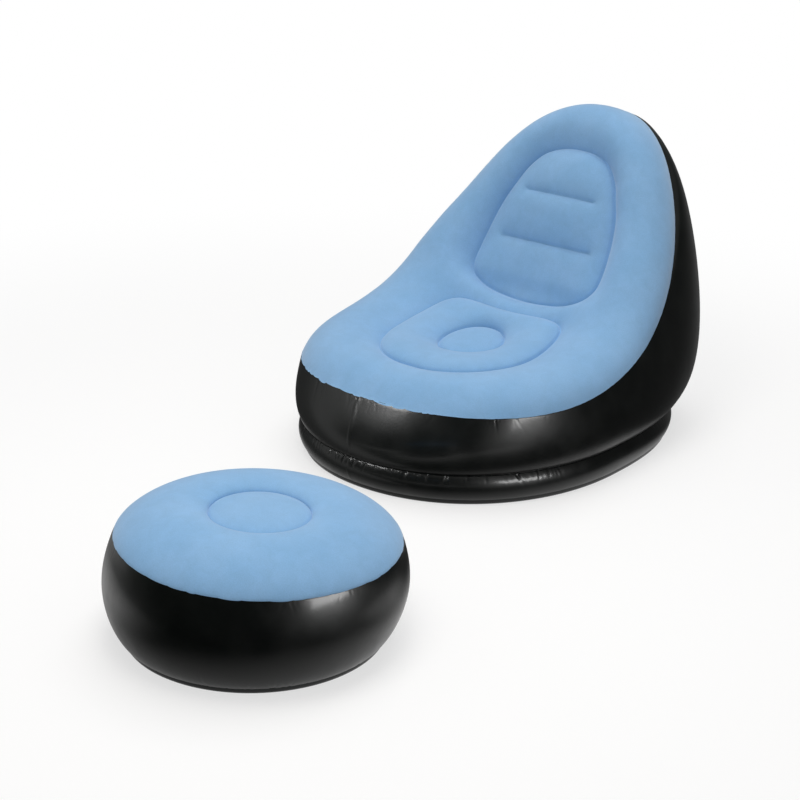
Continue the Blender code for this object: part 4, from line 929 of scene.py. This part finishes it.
def dark_flags():
    """Dark cloth round the set that only reflections show, so that black sheets read as black."""
    middle = Vector(SET_MIDDLE) + Vector(UP) * (0.5 * FLAG_HEIGHT + FLAG_LIFT)
    bpy.ops.mesh.primitive_cylinder_add(vertices=64, radius=FLAG_RADIUS, depth=FLAG_HEIGHT,
                                        end_fill_type="NGON", location=middle)
    flags = bpy.context.object
    flags.name = "dark_flags"
    bpy.ops.object.transform_apply(location=True)
    bpy.ops.object.mode_set(mode="EDIT")
    bpy.ops.mesh.select_all(action="DESELECT")
    bpy.ops.object.mode_set(mode="OBJECT")
    for face in flags.data.polygons:
        face.select = face.normal.z > 0.5
    bpy.ops.object.mode_set(mode="EDIT")
    bpy.ops.mesh.delete(type="FACE")
    bpy.ops.object.mode_set(mode="OBJECT")
    material, tree, where = new_material("black flag cloth", paint("#14110e"))
    clear = 1.0
    for middle, near, far in FLAG_OPENINGS:
        share = ranged(tree, apart(tree, where, middle), near, far, smooth=True)
        clear = reckoned(tree, "MULTIPLY", clear, share)
    place = add(tree, "ShaderNodeVectorMath", {0: where, 1: SET_MIDDLE}, operation="SUBTRACT")
    place = add(tree, "ShaderNodeSeparateXYZ", {"Vector": place.outputs["Vector"]})
    front = reckoned(tree, "MULTIPLY", place.outputs["Y"], -1.0)
    azimuth = reckoned(tree, "ARCTAN2", place.outputs["X"], front)
    level = add(tree, "ShaderNodeValToRGB", {"Fac": ranged(tree, azimuth, -math.pi, math.pi)})
    stops = level.color_ramp.elements
    while len(stops) < len(FLAG_LEVELS):
        stops.new(0.5)
    for stop, (degrees, value) in zip(stops, FLAG_LEVELS):
        stop.position, stop.color = (degrees + 180.0) / 360.0, (value, value, value, 1.0)
    cloth = add(tree, "ShaderNodeEmission", {"Color": level.outputs["Color"], "Strength": 1.0})
    open_air = add(tree, "ShaderNodeBsdfTransparent", {})
    both = add(tree, "ShaderNodeMixShader", {
        0: clear, 1: open_air.outputs["BSDF"], 2: cloth.outputs["Emission"]})
    add(tree, "ShaderNodeOutputMaterial", {"Surface": both.outputs["Shader"]})
    flags.data.materials.append(material)
    flags.visible_camera = flags.visible_diffuse = flags.visible_transmission = flags.visible_shadow = False


def build_studio():
    bpy.ops.mesh.primitive_circle_add(vertices=96, radius=FLOOR_RADIUS, fill_type="NGON", location=SET_MIDDLE)
    floor = bpy.context.object
    floor.name = "studio_floor"
    bpy.ops.object.transform_apply(location=True)
    floor.data.materials.append(studio_floor())
    left = softbox("left_softbox", LEFT_LAMP, reflected_only=True)
    softbox("right_softbox", RIGHT_LAMP, reflected_only=True)
    high = softbox("high_softbox", HIGH_LAMP, reflected_only=True)
    softbox("overhead_softbox", OVERHEAD_LAMP)
    near = softbox("front_softbox", FRONT_LAMP)
    near.data.color = FRONT_LAMP_TINT
    near.visible_glossy = False
    dark_flags()
    chair_only = bpy.data.collections.new("chair_only")
    left.light_linking.receiver_collection = high.light_linking.receiver_collection = chair_only

    world = bpy.data.worlds.new("studio surround")
    bpy.context.scene.world = world
    world.use_nodes = True
    tree = world.node_tree
    tree.nodes.clear()
    seen = seen_share(tree)
    way = add(tree, "ShaderNodeTexCoord", {})
    height = add(tree, "ShaderNodeSeparateXYZ", {"Vector": way.outputs["Generated"]})
    surround = ranged(tree, height.outputs["Z"], 0.22, 0.50, 1.0, 0.20, smooth=True)
    level = add(tree, "ShaderNodeMix", {0: seen, 2: SURROUND_LEVEL, 3: surround})
    light = add(tree, "ShaderNodeBackground", {"Color": WHITE, "Strength": level.outputs[0]})
    add(tree, "ShaderNodeOutputWorld", {"Surface": light.outputs["Background"]})
    bpy.context.scene.view_settings.view_transform = "Standard"


def build_camera():
    back = ray(CAMERA_AZIMUTH, CAMERA_ELEVATION)
    flat_right = Vector((-back.y, back.x, 0.0)).normalized()
    flat_up = back.cross(flat_right)
    roll = math.radians(CAMERA_ROLL)
    right = flat_right * math.cos(roll) + flat_up * math.sin(roll)
    up = flat_up * math.cos(roll) - flat_right * math.sin(roll)
    lens = bpy.data.cameras.new("photo camera")
    lens.sensor_width = SENSOR_MM
    lens.lens = SENSOR_MM * CAMERA_FOCUS_PIXELS / IMAGE_PIXELS
    camera = bpy.data.objects.new("photo camera", lens)
    bpy.context.scene.collection.objects.link(camera)
    turn = Matrix((right, up, back)).transposed().to_4x4()
    camera.matrix_world = Matrix.Translation(Vector(CAMERA_TARGET) + back * CAMERA_DISTANCE) @ turn
    bpy.context.scene.camera = camera


# Chair

def seam_ways(outward):
    """Direction into the air at a top seam, and the one across it towards the top sheet."""
    return -unit(outward + UP), unit(UP - outward)


def chair_wall_shape(turn, share):
    """Upper wall of the chair by row and station."""
    low, low_out = outline_points(turn, WAIST, WAIST_Z)
    high, high_out = seam_points(turn)
    tallness = (high[:, 2] - WAIST_Z) / (SEAM_LOW_Z + SEAM_RISE - WAIST_Z)
    fullness = smooth_step(tallness, *WALL_SWELL_SHARES)
    swell = WALL_LOW_SWELL + (WALL_HIGH_SWELL - WALL_LOW_SWELL) * fullness
    power = LOW_WALL_POWER + (HIGH_WALL_POWER - LOW_WALL_POWER) * fullness
    return swollen_wall(low, high, unit(low_out + high_out), share, swell, (power, power),
                        UPPER_WALL_PEAK_SHARE)


def build_chair(flock, black):
    turn = turns(STATIONS)
    rows = chair_wall_shape(turn, row_shares(UPPER_WALL_ROWS))
    seam, seam_out = seam_points(turn)
    _, waist_out = outline_points(turn, WAIST, WAIST_Z)
    inward, across = seam_ways(seam_out)
    along, length = path_lengths(seam, closed=True)
    busy = spell(turn, *SCALLOPED_TURNS)
    moves, dips = seam_dips(rows, scallops(along, length, busy, CHAIR_SCALLOP_SEED))
    away = column_lengths(rows, True)
    busy = spell(turn, *FRONT_FOLD_TURNS) + spell(turn, *SIDE_FOLD_TURNS)
    folds = folded(UPPER_WALL_FOLDS, along, length, away) * quieter(UPPER_QUIET_SHARE, busy)
    folds = folds + lapped(turn, along)
    fade = smooth_step(column_lengths(rows, False), 0.0, WAIST_CLEAR) * smooth_step(away, 0.0, WELD_CLEAR)
    rows = rows + grid_normals(rows) * (folds * fade)[..., None] + moves
    rows = flattened(rows, CHAIR_VALVE_AT, CHAIR_VALVE_WAY)
    rows[0] += UP * (0.5 * GAP)
    rows[-1] -= across * (0.5 * GAP)
    wall = wall_sheet(Piece("chair_upper_wall_sheet", "chair", "black_pvc", black, ["chair_upper_wall"]),
                      rows, -waist_out[::-1], inward)
    cut_valve_hole(wall, CHAIR_VALVE_AT, CHAIR_VALVE_WAY)

    low, low_out = outline_points(turn, FOOT, FOOT_Z)
    high, high_out = outline_points(turn, WAIST, WAIST_Z)
    rows = swollen_wall(low, high, unit(low_out + high_out), row_shares(BASE_WALL_ROWS),
                        np.full(STATIONS, BASE_SWELL), BASE_WALL_POWERS, BASE_WALL_PEAK_SHARE)
    away = column_lengths(rows, True)
    folds = folded(BASE_WALL_FOLDS, *path_lengths(high, closed=True), away)
    folds = folds * quieter(BASE_QUIET_SHARE, spell(turn, *BASE_FOLD_TURNS)) + lapped(turn, along)
    fade = smooth_step(column_lengths(rows, False), 0.0, FOOT_CLEAR) * smooth_step(away, 0.0, WELD_CLEAR)
    rows = rows + grid_normals(rows) * (folds * fade)[..., None]
    rows[0] += UP * (0.5 * GAP)
    rows[-1] -= UP * (0.5 * GAP)
    wall_sheet(Piece("chair_base_wall_sheet", "chair", "black_pvc", black, ["chair_base_wall"]),
               rows, -waist_out[::-1], -waist_out)
    bottom_sheet(Piece("chair_bottom_sheet", "chair", "black_pvc", black, ["chair_bottom_panel"]),
                 low, low_out, FOOT_Z, FOOT_CURL)

    top = FlockedTop()
    flats, triangles = top.flat_mesh()
    edge = distances(flats, top.edge, True)
    crown = top.crown(flats, edge)
    points = top.shaped(flats, crown, edge)
    nearest = nearest_station(flats, top.edge)
    points += dips[nearest] * np.exp(-(edge / SCALLOP_REACH) ** 2)[:, None]
    points[:STATIONS] = seam + across * (0.5 * GAP) + dips
    sheet = thick_piece(Piece("chair_flocked_sheet", "chair", "blue_flock", flock, ["chair_top_panel"]),
                        points, triangles, [(np.arange(STATIONS), inward)], FLOCKED_SHEET)


def bottom_sheet(piece, rim, outward, rise, curl):
    """Sheet flat on the floor whose rim curls up to its weld."""
    count = len(rim)
    t = np.linspace(0.0, 1.0, CURL_STEPS)[:, None, None]
    level = rim * (1.0, 1.0, 0.0)
    start, stop = level - outward * curl, rim - UP * (0.5 * GAP)
    bend = level - outward * (CURL_IN_SHARE * curl) + UP * (CURL_UP_SHARE * rise)
    curled = (1.0 - t) * (1.0 - 2.0 * t) * start + 4.0 * t * (1.0 - t) * bend + t * (2.0 * t - 1.0) * stop
    middle = level.mean(0)
    inner = [middle + (start - middle) * share for share in FLOOR_SHARES]
    rows = np.vstack((np.stack(inner), curled))
    points = np.vstack((rows.reshape(-1, 3), middle))
    faces = ring_faces(len(rows), count)
    station = np.arange(count)
    hub = np.stack((station, np.full(count, len(points) - 1), (station + 1) % count), -1)
    triangles = np.vstack((split_quads(faces), hub))
    last = (len(rows) - 1) * count
    thick_piece(piece, points, triangles, [(last + station, -outward)], WALL_SHEET)


# Footstool

def leaning(points):
    """Points of the footstool, which leans a little to one side, more the higher they are."""
    turn = math.radians(STOOL_LEAN_TURN_DEGREES)
    side = np.array((math.cos(turn), math.sin(turn), 0.0))
    lean = math.sin(math.radians(STOOL_LEAN_DEGREES))
    lean = lean * smooth_step(points[..., 2], STOOL_FOOT_Z, STOOL_SEAM_Z)
    drop = (points - (STOOL_X, STOOL_Y, 0.0)) @ side * lean
    return points + side * (points[..., 2] * lean)[..., None] - UP * drop[..., None]


def build_footstool(flock, black):
    turn = turns(STOOL_STATIONS)
    station = np.arange(STOOL_STATIONS)
    outward = np.stack((-np.sin(turn), np.cos(turn), np.zeros(STOOL_STATIONS)), -1)
    middle = np.array((STOOL_X, STOOL_Y, 0.0))
    inward, across = seam_ways(outward)

    low = middle + outward * STOOL_FOOT_RADIUS + UP * STOOL_FOOT_Z
    high = middle + outward * STOOL_SEAM_RADIUS + UP * STOOL_SEAM_Z
    rows = swollen_wall(low, high, outward, row_shares(STOOL_WALL_ROWS), np.full(STOOL_STATIONS, STOOL_SWELL),
                        STOOL_WALL_POWERS, STOOL_WALL_PEAK_SHARE)
    along, length = path_lengths(high, closed=True)
    busy = np.full(STOOL_STATIONS, STOOL_SCALLOP_SHARE)
    moves, dips = seam_dips(rows, scallops(along, length, busy, STOOL_SCALLOP_SEED))
    away, rise = column_lengths(rows, True), column_lengths(rows, False)
    folds = folded(STOOL_SEAM_FOLDS, along, length, away) + folded(STOOL_FOOT_FOLDS, along, length, rise)
    fade = smooth_step(away, 0.0, WELD_CLEAR) * smooth_step(rise, 0.0, WELD_CLEAR)
    rows = rows + grid_normals(rows) * (folds * fade)[..., None] + moves
    rows[0] += UP * (0.5 * GAP)
    rows[-1] -= across * (0.5 * GAP)
    rows = flattened(leaning(rows), STOOL_VALVE_AT, STOOL_VALVE_WAY)
    wall = wall_sheet(Piece("footstool_wall_sheet", "footstool", "black_pvc", black, ["footstool_wall"]),
                      rows, -outward, inward)
    cut_valve_hole(wall, STOOL_VALVE_AT, STOOL_VALVE_WAY)
    bottom_sheet(Piece("footstool_bottom_sheet", "footstool", "black_pvc", black, ["footstool_bottom_panel"]),
                 low, outward, STOOL_FOOT_Z, STOOL_FOOT_CURL)

    share = row_shares(STOOL_RING_ROWS)
    radius = STOOL_SEAM_RADIUS + (STOOL_CENTRE_RADIUS - STOOL_SEAM_RADIUS) * share
    swell = STOOL_RING_CROWN * np.where(share < 0.5, pillow(share, STOOL_RIM_POWER), pillow(share, PAD_POWER))
    height = STOOL_SEAM_Z + (STOOL_CENTRE_Z - STOOL_SEAM_Z) * share + swell
    share = np.linspace(0.0, 1.0, STOOL_CENTRE_ROWS)[1:-1] ** STOOL_CENTRE_ROW_POWER
    radius = np.concatenate((radius, STOOL_CENTRE_RADIUS * (1.0 - share)))
    height = np.concatenate((height, STOOL_CENTRE_Z + STOOL_CENTRE_CROWN * pillow(0.5 * share, PAD_POWER)))
    rows = middle + outward * radius[:, None, None] + UP * height[:, None, None]
    fade = np.exp(-((STOOL_SEAM_RADIUS - radius) / SCALLOP_REACH) ** 2)
    rows = rows + dips[None] * fade[:, None, None]
    rows[0] = high + across * (0.5 * GAP) + dips
    peak = middle + UP * (STOOL_CENTRE_Z + STOOL_CENTRE_CROWN)
    points = leaning(np.vstack((rows.reshape(-1, 3), peak)))
    last = (len(rows) - 1) * STOOL_STATIONS
    hub = np.stack((last + station, last + (station + 1) % STOOL_STATIONS,
                    np.full(STOOL_STATIONS, len(points) - 1)), -1)
    triangles = np.vstack((split_quads(ring_faces(len(rows), STOOL_STATIONS)), hub))
    sheet = thick_piece(Piece("footstool_flocked_sheet", "footstool", "blue_flock", flock,
                              ["footstool_top_panel"]),
                        points, triangles, [(station[::-1], inward[::-1])], FLOCKED_SHEET)


def main():
    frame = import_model()
    bpy.ops.object.select_all(action="DESELECT")
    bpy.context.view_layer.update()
    build_camera()
    build_studio()
    flock, black = flocked_pvc(), calendered_pvc()
    build_chair(flock, black)
    build_footstool(flock, black)
    for piece in bpy.data.objects:
        if piece.type == "MESH" and piece.name.startswith("chair"):
            bpy.data.collections["chair_only"].objects.link(piece)
    finishes = {
        "blue_flock": flock, "black_pvc": black, "clear_pvc": milky_pvc(), "valve_vinyl": moulded_vinyl()}
    for name, node in frame["nodes"].items():
        key = "valve_vinyl" if "valve" in name and "flap" not in name else "clear_pvc"
        key = "black_pvc" if "weld" in name else key
        for slot in node.material_slots:
            slot.material = finishes[key]


main()
